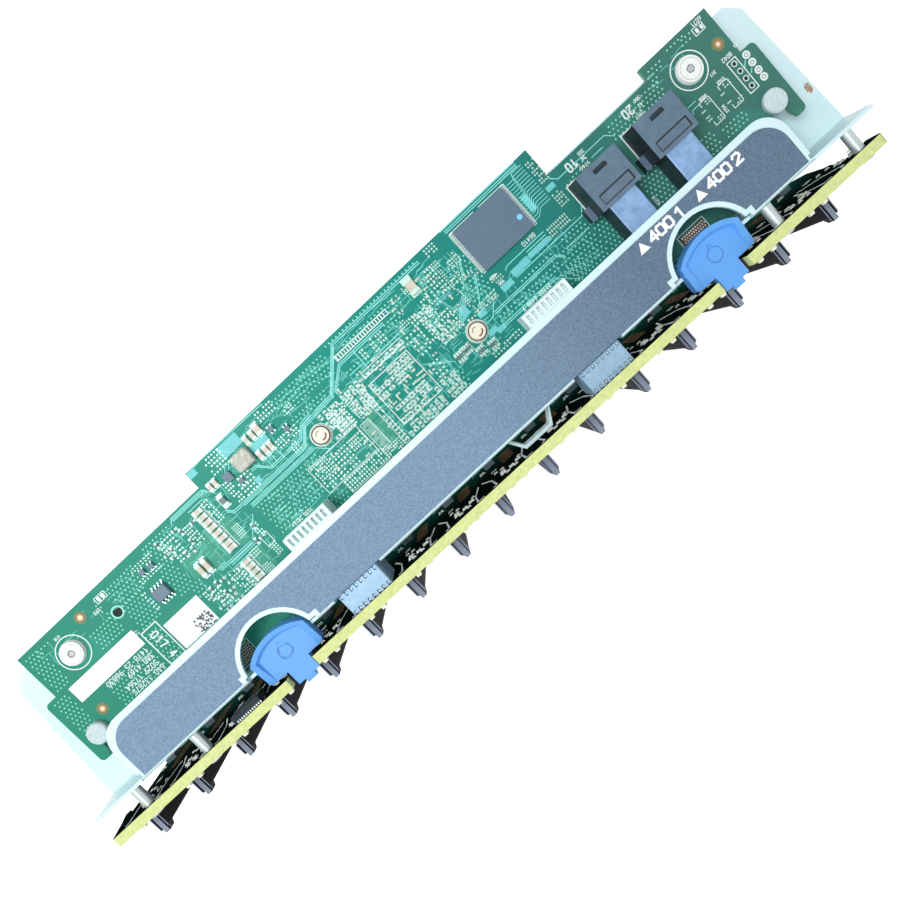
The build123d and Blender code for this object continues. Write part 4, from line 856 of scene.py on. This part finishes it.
pad_share, kept_share = 0.84, 0.88
pad_rows = []
for x0, x1, y0, y1, step_x, step_y, width, depth in pad_banks:
    places = dot_grid(x0, x1, y0, y1, step_x, step_y, 0.0)
    places = places[scatter.random(len(places)) < kept_share]
    pad_rows.append(np.column_stack([places[:, 0], places[:, 0] + width * pad_share,
                                     places[:, 1], places[:, 1] + depth * pad_share]))
deck_piece("deck_pads", bars(np.concatenate(pad_rows), bank_height), soft_tin)

# Places of the parts that lie in printed outlines: (x0, x1, y0, y1, step along x, step along y)
outlined_banks = [
    (-1.4, 12.4, 33.2, 38.6, 1.3, 1.9), (-1.4, 12.4, 42.4, 47.0, 1.3, 1.9),
    (-0.6, 13.4, 49.9, 51.2, 1.7, 1.4), (-18.4, -11.4, 42.6, 50.4, 1.9, 1.5),
    (-8.0, -2.6, 42.6, 50.8, 1.9, 1.5), (14.2, 18.4, 28.8, 34, 1.9, 1.6),
    (22.4, 24.6, 41.8, 52.4, 1.9, 1.7), (-8.2, -5.6, 43.4, 47.2, 1.9, 1.6),
    (-2.4, 12.4, 28.9, 30.6, 1.9, 1.5), (-66.2, -65.6, 28.6, 36, 1.5, 2.0),
]
outlined_places = np.concatenate([dot_grid(*bank, 0.0) for bank in outlined_banks])
outlined_places = outlined_places[scatter.random(len(outlined_places)) < 0.8]
outlined_turn = scatter.random(len(outlined_places)) < 0.5


# White printing on the expander board
def outlines_round(places, length, width, line=0.12):
    """Rows for bars() that print an outline round each place."""
    x, y = places.T
    rows = np.array(outline_rows(-length / 2, length / 2, -width / 2, width / 2, line))
    shift = np.column_stack([x, x, y, y])
    return (shift[:, None] + rows[None]).reshape(-1, 4)


print_rows = [outline_rows(x0 - 0.7, x1 + 0.7, y0 - 0.7, y1 + 0.7)
              for x0, x1, y0, y1 in pad_blocks]
print_rows.append(outlines_round(outlined_places[outlined_turn], 1.7, 1.05))
print_rows.append(outlines_round(outlined_places[~outlined_turn], 1.05, 1.7))
frames = [
    (-101.5, -95.3, 27.5, 40.3, 0.35), (-103.8, -99.8, 55.0, 57.2, 0.2),
    (129.5, 133.1, 55.2, 57.5, 0.2), (130.9, 134.2, 33.5, 44.2, 0.25),
    (-31.8, -12.6, 32.4, 41.8, 0.2), (-2.2, 12.8, 32.2, 47.5, 0.2), (-3.8, 16.2, 58.2, 60.0, 0.25),
    (-1.4, 13.6, 49.4, 51.4, 0.2), (-11.9, -8.6, 30.6, 40.8, 0.16),
    (-55.6, -52.9, 33.2, 37.2, 0.2), (-56.9, -54.9, 49.8, 53.6, 0.2), (42, 58.4, 27, 32, 0.22),
    (-50.2, -34.2, 27, 32.1, 0.22), (-26.6, -12.0, 28.0, 32.2, 0.16), (-5.6, -4.0, 28, 48, 0.16),
]
print_rows += [outline_rows(*corners) for corners in frames]
print_rows.append([(-3.4 + 0.95 * k, -3.1 + 0.95 * k, 58.5, 59.7) for k in range(20)])
print_rows.append([(43.4, 52.6, 62.4, 62.6), (54.4, 63.8, 62.4, 62.6), (43.4, 63.8, 48.0, 48.2)])
for left in (76.2, 96.4):
    print_rows.append([(left, left + 0.3, 38, 49.5), (left, left + 2.7, 37.7, 38.0),
                       (left + 2.7, left + 3.0, 28, 38.0), (left, left + 4, 49.5, 49.8)])
for left in (118.4, 125.2):
    print_rows.append([(left, left + 3.4, 41.2, 41.4), (left, left + 0.2, 40, 41.2),
                       (left + 3.3, left + 3.5, 33.8, 41.2), (left, left + 3.3, 33.6, 33.8),
                       (left, left + 0.2, 33.8, 35)])
print_lines, small_lines = [], []
for text, x, y, height, turn in (
        ("1470 25 96830", -111.4, 35.9, 1.6, 180), ("380 4169", -108.1, 33.6, 1.6, 180),
        ("5029 17364", -110.0, 31.2, 1.6, 180), ("640 132875", -109.4, 29.0, 1.6, 180),
        ("017 4", -98.4, 33.6, 2.4, 270), ("10", 81.4, 53.1, 2.4, 180),
        ("20", 102.4, 53.1, 2.4, 180), ("205", 85.6, 54.0, 0.9, 180), ("38", 85.2, 52.4, 0.9, 180),
        ("1746", 84.2, 50.6, 1.1, 180), ("306", 106.6, 54.0, 0.9, 180),
        ("41", 106.2, 52.2, 1.1, 180), ("2957", 104.4, 50.4, 0.9, 180),
        ("6071", 132.0, 58.3, 1.1, 180), ("8042", 132.2, 45.4, 1.1, 180),
        ("317", 126.6, 44.8, 0.8, 180), ("4908", 120.4, 41.9, 0.8, 180),
        ("5163", 127.0, 41.9, 0.8, 180), ("2704", 123.1, 35.4, 0.8, 90),
        ("86410", 59.0, 46.4, 1.2, 180), ("31702 6458 9", 50.0, 33.0, 1.1, 180),
        ("7035 28164", -42.4, 33.0, 1.0, 180), ("418", -119.8, 56.2, 0.9, 180),
        ("593", -105.6, 53.8, 1.0, 180), ("27", -101.8, 41.4, 1.1, 90),
        ("6310", 92.6, 30, 0.9, 90), ("480", 44.8, 45.6, 0.9, 180), ("12", 136.0, 46.2, 0.9, 0),
        ("905", 45.4, 42.9, 0.8, 180)):
    (print_lines if height > 1.3 else small_lines).extend(numerals(text, x, y, height, turn))
bold_lines = [line for text, x, y, turn in (("10", 81.4, 53.1, 180), ("20", 102.4, 53.1, 180),
                                            ("017 4", -98.4, 33.6, 270))
              for line in numerals(text, x, y, 2.4, turn)]
screw_places = [(-119.5, 49.9), (122.3, 49.9)]
pin_places = [(-21.7, 46.4), (31.1, 37.5)]
printing = joined(bars(np.concatenate(print_rows), outline_height),
                  stamp(hoop(5.15, 5.45, 0.066), screw_places),
                  stamp(hoop(3.15, 3.35, 0.068), pin_places))
deck_piece("deck_printing", printing, white_print)
deck_numerals = joined(strokes(print_lines, 0.22, numeral_height),
                       strokes(small_lines, 0.15, numeral_height),
                       strokes(bold_lines, 0.4, 0.16))
deck_piece("deck_numerals", deck_numerals, white_print)

# Bare laminate with a lined hole, open pads and holes that show dark, with dark discs sunk in them
# as painted shade
lined_holes = [(-110.5, 55.9), (-125.8, 32.0), (132.7, 49.7)]
ring_pads = [(136.7, y) for y in (42.3, 39.7, 37.0, 34.6)]
header_holes = [(132.7, 35.09 + 2.54 * k) for k in range(4)]
open_hole = [(-101.4, 49.6)]
deck_piece("deck_bare_rings", stamp(hoop(0.9, 1.9, 0.05), lined_holes), bare_laminate)
deck_piece("deck_copper_rings", stamp(hoop(0.45, 1.0, 0.08), lined_holes), copper)
outlined_pads = joined(*(
    stamp(slab(*size, 0.075), outlined_places[chosen] + np.multiply(side, step))
    for chosen, size, step in ((outlined_turn, (0.4, 0.62), (0.5, 0)),
                               (~outlined_turn, (0.62, 0.4), (0, 0.5)))
    for side in (-1, 1)))
open_pads = joined(
    stamp(disc(0.5, open_height, 16), lined_holes),
    stamp(slab(0.9, 1.3, open_height), [(-102.6, 56.1), (-101.0, 56.1), (130.7, 56.3),
                                        (132.3, 56.3)]),
    stamp(hoop(0.6, 1.15, open_height, 16), ring_pads),
    stamp(disc(0.42, open_height, 16), ring_pads),
    stamp(hoop(0.6, 0.85, open_height, 16), header_holes))
deck_piece("deck_open_pads", open_pads, tin)
deck_piece("deck_outlined_pads", outlined_pads, soft_tin)
# Painted shade: dark discs inside the holes stand in for the shade there.
hole_shade_discs = joined(stamp(disc(1.45, 0.1, 20), open_hole),
                     stamp(disc(0.5, 0.1, 12), header_holes))
deck_piece("deck_hole_shade_discs", hole_shade_discs, hole_dark, -0.5)
deck_piece("deck_hole_rim", stamp(hoop(1.5, 2.0, 0.08, 24), open_hole), via_mask)

# Two films on the expander board: a blank one and one with a plain square code
for film_name, film_area in (("deck_blank_film", (-128.7, -102.4, 37.4, 43.1)),
                             ("deck_code_film", (-94.7, -81.2, 27.9, 37.6))):
    deck_piece(film_name, bars([film_area], film_height), blank_film)
code_cells = np.argwhere(scatter.random((13, 11)) < 0.5)
code_rows = np.column_stack([-87.9 + code_cells[:, 0] * 0.46, -87.44 + code_cells[:, 0] * 0.46,
                             28.0 + code_cells[:, 1] * 0.42, 28.42 + code_cells[:, 1] * 0.42])
deck_piece("deck_code", bars(code_rows, 0.04), code_ink, 0.09)


# Small surface-mounted parts: a body between two tinned ends, on two pads
def two_ended(length, width, height):
    """Body, and ends with pads, of a chip part that lies along x."""
    cap = length * 0.24
    body = slab(length - 2 * cap + 0.02, width * 0.96, height * 0.96, 0.04)
    end = slab(cap, width, height, 0.05)
    ends = stamp(end, [(-(length - cap) / 2, 0), ((length - cap) / 2, 0)])
    pads = stamp(slab(cap * 1.5, width * 1.15, pad_height),
                 [(-(length + 0.3) / 2 + cap * 0.3, 0), ((length + 0.3) / 2 - cap * 0.3, 0)])
    return body, joined(ends, pads)


def scattered(areas, step_x, step_y, share, turns=(0, 90)):
    """Places and turns of small parts: a jittered grid over each area with some cells left out."""
    places = np.concatenate([dot_grid(*area, step_x, step_y) for area in areas])
    places = places[scatter.random(len(places)) < share]
    places = places + scatter.uniform(-0.2, 0.2, places.shape)
    turn = scatter.choice(turns, len(places))
    return np.column_stack([places, turn])


def add_chips(name, kinds, material, surface=on_deck, end_name=None, end_material=soft_tin):
    """Two-ended parts of several sizes; kinds are (length, width, height, places)."""
    bodies, ends = [], []
    for length, width, height, places in kinds:
        body, end = two_ended(length, width, height)
        bodies.append(stamp(body, places))
        ends.append(stamp(end, places))
    add_piece(name, surface(joined(*bodies)), material)
    add_piece(end_name or name + "_ends", surface(joined(*ends)), end_material)


column_y = (54.6, 52.5, 50.5, 48.5, 46.4, 44.4, 42.3, 40.5, 34.6, 32.8, 30.9, 28.9)
tan_kinds = [
    (3.2, 1.6, 1.1, [(-63.2, y, 0) for y in column_y]),
    (2.4, 1.4, 1.0, [(-55.5, 57.2, 90), (-53.6, 57.2, 90)]),
    (2.7, 1.4, 1.0, [(-38.4, 59.8, 90), (-36.1, 59.8, 90)]),
    (3.5, 2.0, 1.2, [(-33.9, 60.1, 90)]),
    (2.6, 1.5, 1.0, [(-38.4, 54.1, 90), (-36.2, 54.1, 90), (-34.3, 54.1, 90)]),
    (4.5, 1.6, 1.3, [(-74.6, 41.7, 90), (-72.3, 41.7, 90)]),
    (4.8, 2.8, 1.5, [(25.9, 59.4, 90)]),
]
dense_areas = [(-31, -13, 33, 41), (-11, 17, 28, 52), (18, 41, 41, 60)]
cluster_areas = [(-79, -71, 48, 56), (-79, -71, 28, 36), (-57, -52, 37, 41), (-70, -66, 48, 54)]
chip_clear = np.array([
    (-24.6, -18.8, 43.8, 49.4), (27.8, 34.2, 34.6, 40.6), (23.5, 28.3, 56, 62.5),
    (-2.6, 13.2, 31.8, 47.9), (-46, -39.5, 53.5, 60),
])
tiny_places = clear_of(scattered(dense_areas, 1.9, 1.7, 0.3), chip_clear)
small_places = scattered(cluster_areas, 2.3, 1.9, 0.35)
core_places = scattered([(-1.5, 12, 38.8, 42.4)], 1.6, 1.25, 0.6)
add_chips("deck_capacitors", tan_kinds + [(1.0, 0.55, 0.5, tiny_places[::2]),
                                          (1.0, 0.5, 0.5, core_places)],
          ceramic_tan)
bank_places = [(x + 0.9 * k, y, 90) for x, y in ((21.7, 35.5), (24.6, 35.7), (27.4, 32.6),
                                                 (31.2, 31.7)) for k in range(3)]
add_chips("deck_resistors", [(1.0, 0.5, 0.35, tiny_places[1::2]), (1.6, 0.8, 0.45, small_places),
                             (2.2, 0.6, 0.4, bank_places), (3.6, 1.8, 0.9, [(-55.5, 52.0, 90)])],
          ceramic_grey)


def leg(reach, rise, width):
    """A gull-wing leg that points along -y: its side view of shoulder, slope and foot, as (run,
    height) points, is carried across its width and capped at each side."""
    thick = 0.15
    upper = np.array([(0.0, rise), (reach * 0.3, rise), (reach * 0.55, thick), (reach, thick)])
    side = np.concatenate([upper, upper[::-1] - (0.0, thick)])
    count = len(side)
    y, z = -side[:, 0], side[:, 1]
    points = np.concatenate([np.column_stack([np.full(count, x), y, z])
                             for x in (-width / 2, width / 2)])
    step = np.arange(count)
    after = (step + 1) % count
    walls = np.column_stack([step, step + count, after + count, after])
    strips = np.array([(k, k + 1, count - 2 - k, count - 1 - k) for k in range(3)])
    return points, [walls[:, ::-1], strips[:, ::-1], strips + count]


switch_places = [(-87.5, 53.0), (-84.3, 52.7), (-31.0, 57.5), (-27.5, 54.5), (-47.5, 52.5)]
controller_legs = stamp(leg(1.2, 0.8, 0.42), [(-89.3 + 1.27 * k, 42.9, 0) for k in range(4)]
                        + [(-89.3 + 1.27 * k, 46.8, 180) for k in range(4)])
flash_legs = stamp(leg(1.45, 0.5, 0.27), [(44.5, 48.7 + 0.5 * k, 270) for k in range(28)]
                   + [(62.6, 48.7 + 0.5 * k, 90) for k in range(28)])
switch_legs = stamp(leg(0.6, 0.5, 0.3), [(x + s, y + t, 180 if t > 0 else 0)
                                         for x, y in switch_places
                                         for s in (-0.6, 0.6) for t in (-0.7, 0.7)])
deck_piece("deck_legs", joined(controller_legs, flash_legs, switch_legs), tin)
switches = joined(stamp(slab(1.8, 1.5, 0.9, 0.08), switch_places),
                  stamp(slab(2.6, 2.9, 0.9, 0.06), [(-49.6, 55.9)]))
deck_piece("deck_small_chips", switches, chip_epoxy)
flash_top, pin_top = 1.09, 1.19
flash_marks = stamp(hoop(0.35, 0.5, 0.03, 16), [(45.5, 60.7), (61.8, 61.4), (45.6, 49.5)])
deck_piece("flash_dimples", flash_marks, dark_epoxy, flash_top)
first_pin = stamp(disc(0.8, 0.03, 20), [(61.1, 52.6)])
deck_piece("flash_first_pin", first_pin, blue_dot, flash_top)
# Painted shade: the brown slot arcs and the dark ring round each pin head.
pin_marks = joined(stamp(hoop(1.2, 1.7, 0.04, 20, 250, 100), pin_places),
                   stamp(hoop(1.25, 1.5, 0.04, 20, 70, 90), pin_places))
deck_piece("pin_slots", pin_marks, pin_shade, pin_top)
pin_rims = stamp(hoop(2.4, 2.75, 0.05, 32), pin_places)
deck_piece("pin_rims", pin_rims, hole_dark, pin_top - 0.01)

# Screw sockets: a six-lobed recess in each head
lobe_angle = np.arange(48) * np.pi / 24
lobe_radius = 0.86 + 0.18 * np.cos(6 * lobe_angle)
lobe_ring = np.stack([lobe_radius * np.cos(lobe_angle), lobe_radius * np.sin(lobe_angle)], 1)
lobes = (np.concatenate([np.column_stack([lobe_ring, np.full(48, z)]) for z in (0.0, 0.9)]),
         ring_faces(48, 2))
deck_piece("screw_lobes", stamp(lobes, screw_places), lobe_shade, 0.3)
deck_piece("screw_rims", stamp(hoop(2.85, 3.05, 0.03, 40), screw_places), lobe_shade,
           1.29)

# Moulded lines, an eye and a groove on top of each port's hood, drawn dark as painted shade
hood_rows = [row for x in port_places
             for row in ((x - 5.1, x + 5.5, 41.2, 41.55), (x + 5.05, x + 5.5, 38.5, 41.2),
                         (x - 5.1, x + 5.05, 38.4, 38.6), (x - 2.0, x + 0.8, 47.35, 47.6))]
hood_eyes = stamp(disc(0.75, 0.03, 20), [(x + 1.35, 46.9) for x in port_places])
add_piece("hood_lines", raised(joined(bars(hood_rows, 0.02), hood_eyes), hood_top - 0.01),
          hole_dark)

# Marks on the label: a triangle and a numeral at each port
label_marks = []
for centre_x, digit in ((77.4, "1"), (97.7, "2")):
    wedge = ribbon([(centre_x, 22.2), (centre_x, 25.1)], 3.3, 0.03)
    points = wedge[0].copy()
    points[points[:, 1] > 25.0, 0] = centre_x + (points[points[:, 1] > 25.0, 0] - centre_x) * 0.04
    label_marks.append((points, wedge[1]))
    for text, across in (("400", 6.7), (digit, 13.2)):
        label_marks.append(strokes([np.array(line) * (1.6, 1.0) + (centre_x + across, 23.87)
                                    for line in numerals(text, 0, 0, 2.6, spacing=0.66)],
                                   0.68, 0.03))
label_shape = raised(joined(*label_marks), -0.01)
add_piece("label_marks", raised(label_shape, label_top), bright_print)

# Marks on the levers: a ring with a short arrow
for side_name, x, y in (("left", lever_places[0], 9.3), ("right", lever_places[1], 8.9)):
    ring = stamp(hoop(1.95, 2.3, 0.05, 28, 110, 300), [(x, y)])
    arrow = ribbon([(x - 0.8, y + 2.4), (x, y + 3.2), (x + 0.8, y + 2.4)], 0.32, 0.05)
    mark = raised(joined(ring, arrow), lever_plate - 0.02)
    add_piece(f"lever_mark_{side_name}", mark, lever_shade, f"lever_{side_name}")

# Rear of the main board: a printed mark and small parts for each drive
def by_drive(offsets, turn, drives=bay_places):
    """Places of parts at each drive, kept on the board at its left end."""
    return [(max(x + dx, board_left + 1.1), z, turn) for x in drives for dx, z in offsets]


bay_marks = []
for x in bay_places:
    by_lever = np.abs(np.array(lever_places) - x).min() < 8
    left_top = [(x - 4.0, 68.0)] if by_lever else [(x - 3.9, 72.9), (x - 1.5, 73.2)]
    right_top = [(x + 2.9, 68.0)] if by_lever else [(x + 3.2, 72.2), (x + 2.0, 73.2)]
    halves = [[(max(x - 0.8, board_left + 0.4), 54.1), (x + 2.3, 62.3)] + right_top]
    if x - 4.2 > board_left:
        halves.insert(0, [(x - 2.3, 54.5), (x - 4.2, 64.4)] + left_top)
    bay_marks += [ribbon(half, 0.6, print_height) for half in halves]
    bay_marks.append(bars([(x + 3.4 + 0.55 * k, x + 3.6 + 0.55 * k, 50.6, 53.4)
                           for k in range(4)], print_height))
add_piece("board_printing", on_board_rear(joined(*bay_marks)), white_print)
add_chips("board_chips", [
    (1.6, 0.8, 0.6, by_drive([(6.6, 67.2), (6.6, 64.8), (9.7, 67.5), (12.2, 65.8), (0.7, 42.0)],
                             0)),
    (1.0, 0.5, 0.4, by_drive([(7.9, 69.6), (11.0, 69.4), (4.6, 58.0), (6.9, 59.5), (13.0, 62.0)],
                             0)),
], ceramic_tan, on_board_rear, "board_chip_ends", tin)

# Comb of pins along the top of the sideband header, by the board
comb = [(-93.3 + 0.8 * k, -92.95 + 0.8 * k, 3.1, 3.75) for k in range(12)]
add_piece("sideband_pins", raised(bars(comb, 0.05), header_top - 0.02), tin)

# Front of the main board: an outline and a number for each drive, vias, tracks and small parts
front_rows, front_lines, front_tracks, front_vias = [], [], [], []
for bay, (x, number_x) in enumerate(zip(bay_places, number_places)):
    front_rows += [(max(x - 5.3, hook_left), x + 6.3, 61.6, 61.85),
                   (max(x - 5.3, board_left), x + 6.3, 17.6, 17.85),
                   (x + 6.05, x + 6.3, 17.85, 61.6)]
    front_lines += numerals(str(bay), number_x, 13.6, 2.8)
    front_lines += numerals(str(2107 + 163 * bay), number_x, 9.8, 1.2)
    front_tracks += [[(x - 4.2 + 0.9 * k, 17.2), (x - 4.2 + 0.9 * k, 16.2 - 0.3 * k)]
                     for k in range(10) if x - 4.5 + 0.9 * k > board_left]
    front_tracks += [[(x + 7.1, 24 + 5 * k), (x + 7.1, 27 + 5 * k)] for k in range(4)]
    front_vias.append(dot_grid(x - 5.6, x + 8.4, 64.4, 68.4, 1.4, 1.3))
    front_vias.append(dot_grid(x - 7.6, x + 9.4, -2.6, 7.6, 1.7, 1.7))
front_tracks += [[(-122, -3.6 + 0.7 * k), (122, -3.6 + 0.7 * k)] for k in (0, 1)]
front_keep = np.array([(-150, -123, -6, 17), (123, 150, -6, 8), (136, 150, -6, 17),
                       (-150, -138, 60, 75), (137, 150, 60, 75)]
                      + [(x - 4.6, x + 4.6, 60, 75) for x in post_places]
                      + [(x - 6.5, x + 6.5, 60, 75) for x in lever_places])
front_vias = clear_of(np.concatenate(front_vias), front_keep)
front_printing = joined(bars(front_rows, print_height), strokes(front_lines, 0.3, print_height))
add_piece("front_printing", on_board_front(front_printing), white_print)
add_piece("front_tracks", on_board_front(strokes(front_tracks, 0.3, track_height)), front_copper)
add_piece("front_vias", on_board_front(stamp(disc(0.35, 0.03, 8), front_vias)), front_copper)
add_chips("front_chips", [
    (1.6, 0.8, 0.7, by_drive([(7.2, 20.4), (7.2, 22.0), (-7.7, 31.4)], 90, bay_places[1:])),
    (1.0, 0.5, 0.45, by_drive([(-7.7, 28.2), (-7.9, 26.6), (7.3, 59.4), (-7.7, 56.0),
                               (-7.7, 58.2)], 90, bay_places[1:])),
], ceramic_tan, on_board_front, "front_chip_ends", tin)

# Rear of the main board, low: tracks, vias and a number for each drive, which reads from behind
rear_lines, rear_tracks = [], []
for bay, x in enumerate(number_places):
    rear_lines += [np.array(line) * (-1, 1) + (x, 27.0) for line in numerals(str(bay), 0, 0, 2.4)]
    rear_tracks += [[(x - 3.0 + 0.8 * k, 33.0 - 0.5 * k), (x - 3.0 + 0.8 * k, 30.0),
                     (x - 2.0 + 0.8 * k, 29.0)] for k in range(5)]
rear_tracks += [[(-136, 16 + 0.8 * k), (136, 16 + 0.8 * k)] for k in range(6)]
rear_vias = clear_of(dot_grid(-134, 136, -2.6, 14.0, 2.3, 2.3), np.array([
    (-137, -123, -6, 8), (123, 137, -6, 8), (-76, -48, -3, 13), (48, 76, -3, 13),
    (-118, -80, -5, 15), (80, 118, -5, 15)]))
add_piece("rear_printing", on_board_rear(strokes(rear_lines, 0.3, print_height)), white_print)
add_piece("rear_tracks", on_board_rear(strokes(rear_tracks, 0.3, track_height)), front_copper)
add_piece("rear_vias", on_board_rear(stamp(disc(0.4, 0.03, 8), rear_vias)), front_copper)

# Contacts in the drive connectors: two facing rows of gold strips in each slot
contact_rows = []
for x in bay_places:
    for low, count in ((24.0, 15), (45.5, 7)):
        heights = low + 1.27 * np.arange(count)
        for wall in (x - 0.65, x + 0.57):
            contact_rows += [(wall, wall + 0.08, z, z + 0.7) for z in heights]
contact_strips = bars(contact_rows, 2.6)
add_piece("drive_contacts", on_board_front(raised(contact_strips, 4.6)), gold)

# Link headers: two rows of pins in their slots
link_pitch = 1.775
link_pins = [(x - 6.2 + link_pitch * k - 0.2, x - 6.2 + link_pitch * k + 0.2, y, y + 0.3)
             for x in (-40.9, 49.3) for k in range(8) for y in (3.5, 9.2)]
add_piece("link_pins", raised(bars(link_pins, 0.5), 73.4), tin)

# Power headers: a square pin in each cavity
power_pitch, power_level, half_pin = 4.2, 6.0, 0.4
power_pins = [(x + power_pitch * column - half_pin, x + power_pitch * column + half_pin,
               power_level + power_pitch * row - power_pitch / 2 - half_pin,
               power_level + power_pitch * row - power_pitch / 2 + half_pin)
              for x in (-62.0, 62.0) for column in range(-2, 3) for row in range(2)]
add_piece("power_pins", on_board_rear(raised(bars(power_pins, 7.0), 4.0)), tin)

# Floor, world and lamps
floor_mesh = bpy.data.meshes.new("studio_floor")
reach = 3.0
floor_mesh.from_pydata([(x * reach, y * reach, floor_level)
                        for x, y in ((-1, -1), (1, -1), (1, 1), (-1, 1))], [], [(0, 1, 2, 3)])
studio_floor = bpy.data.objects.new("studio_floor", floor_mesh)
bpy.context.collection.objects.link(studio_floor)
floor_paint = bpy.data.materials.new("studio_floor_paint")
floor_paint.use_nodes = True
floor_tree = floor_paint.node_tree
floor_shader = set_inputs(
    floor_tree.nodes["Principled BSDF"], ("Base Color", (0.86, 0.86, 0.86, 1)),
    ("Roughness", 0.9), ("Specular IOR Level", 0.0), ("Emission Color", (1, 1, 1, 1)))
lift = add_node(floor_tree, "Math", "MULTIPLY", (1, 0.6))
wire(floor_tree, (seen_directly(floor_tree), 0, lift, 0),
     (lift, 0, floor_shader, "Emission Strength"))
floor_mesh.materials.append(floor_paint)

world = bpy.data.worlds.new("studio")
bpy.context.scene.world = world
world.use_nodes = True
backdrop = set_inputs(world.node_tree.nodes["Background"], ("Color", (1, 1, 1, 1)))
strength = ramp_node(world.node_tree, 0.0, 1.0, 1.0, 0.45)
wire(world.node_tree, (seen_directly(world.node_tree), 0, strength, "Value"),
     (strength, "Result", backdrop, "Strength"))


def soft_lamp(name, place, aim, size, watts):
    """A round soft lamp at a place, turned so that it looks at its aim."""
    lamp_data = bpy.data.lights.new(name, "AREA")
    lamp_data.shape = "DISK"
    lamp_data.size = size
    lamp_data.energy = watts
    lamp = bpy.data.objects.new(name, lamp_data)
    ahead = np.subtract(aim, place) / np.linalg.norm(np.subtract(aim, place))
    across = np.cross(ahead, (0, 0, 1))
    across /= np.linalg.norm(across)
    above = np.cross(across, ahead)
    lamp.matrix_world = Matrix([
        (across[i], above[i], -ahead[i], place[i]) for i in range(3)] + [(0, 0, 0, 1)])
    bpy.context.collection.objects.link(lamp)


soft_lamp("key_lamp", (-0.28, 0.2, 0.84), (0.0, 0.02, 0.06), 0.5, 5.4)
soft_lamp("front_lamp", (0.1, -0.75, 0.4), (0.0, 0.02, 0.06), 0.6, 1.6)

bpy.context.scene.view_settings.view_transform = "Standard"
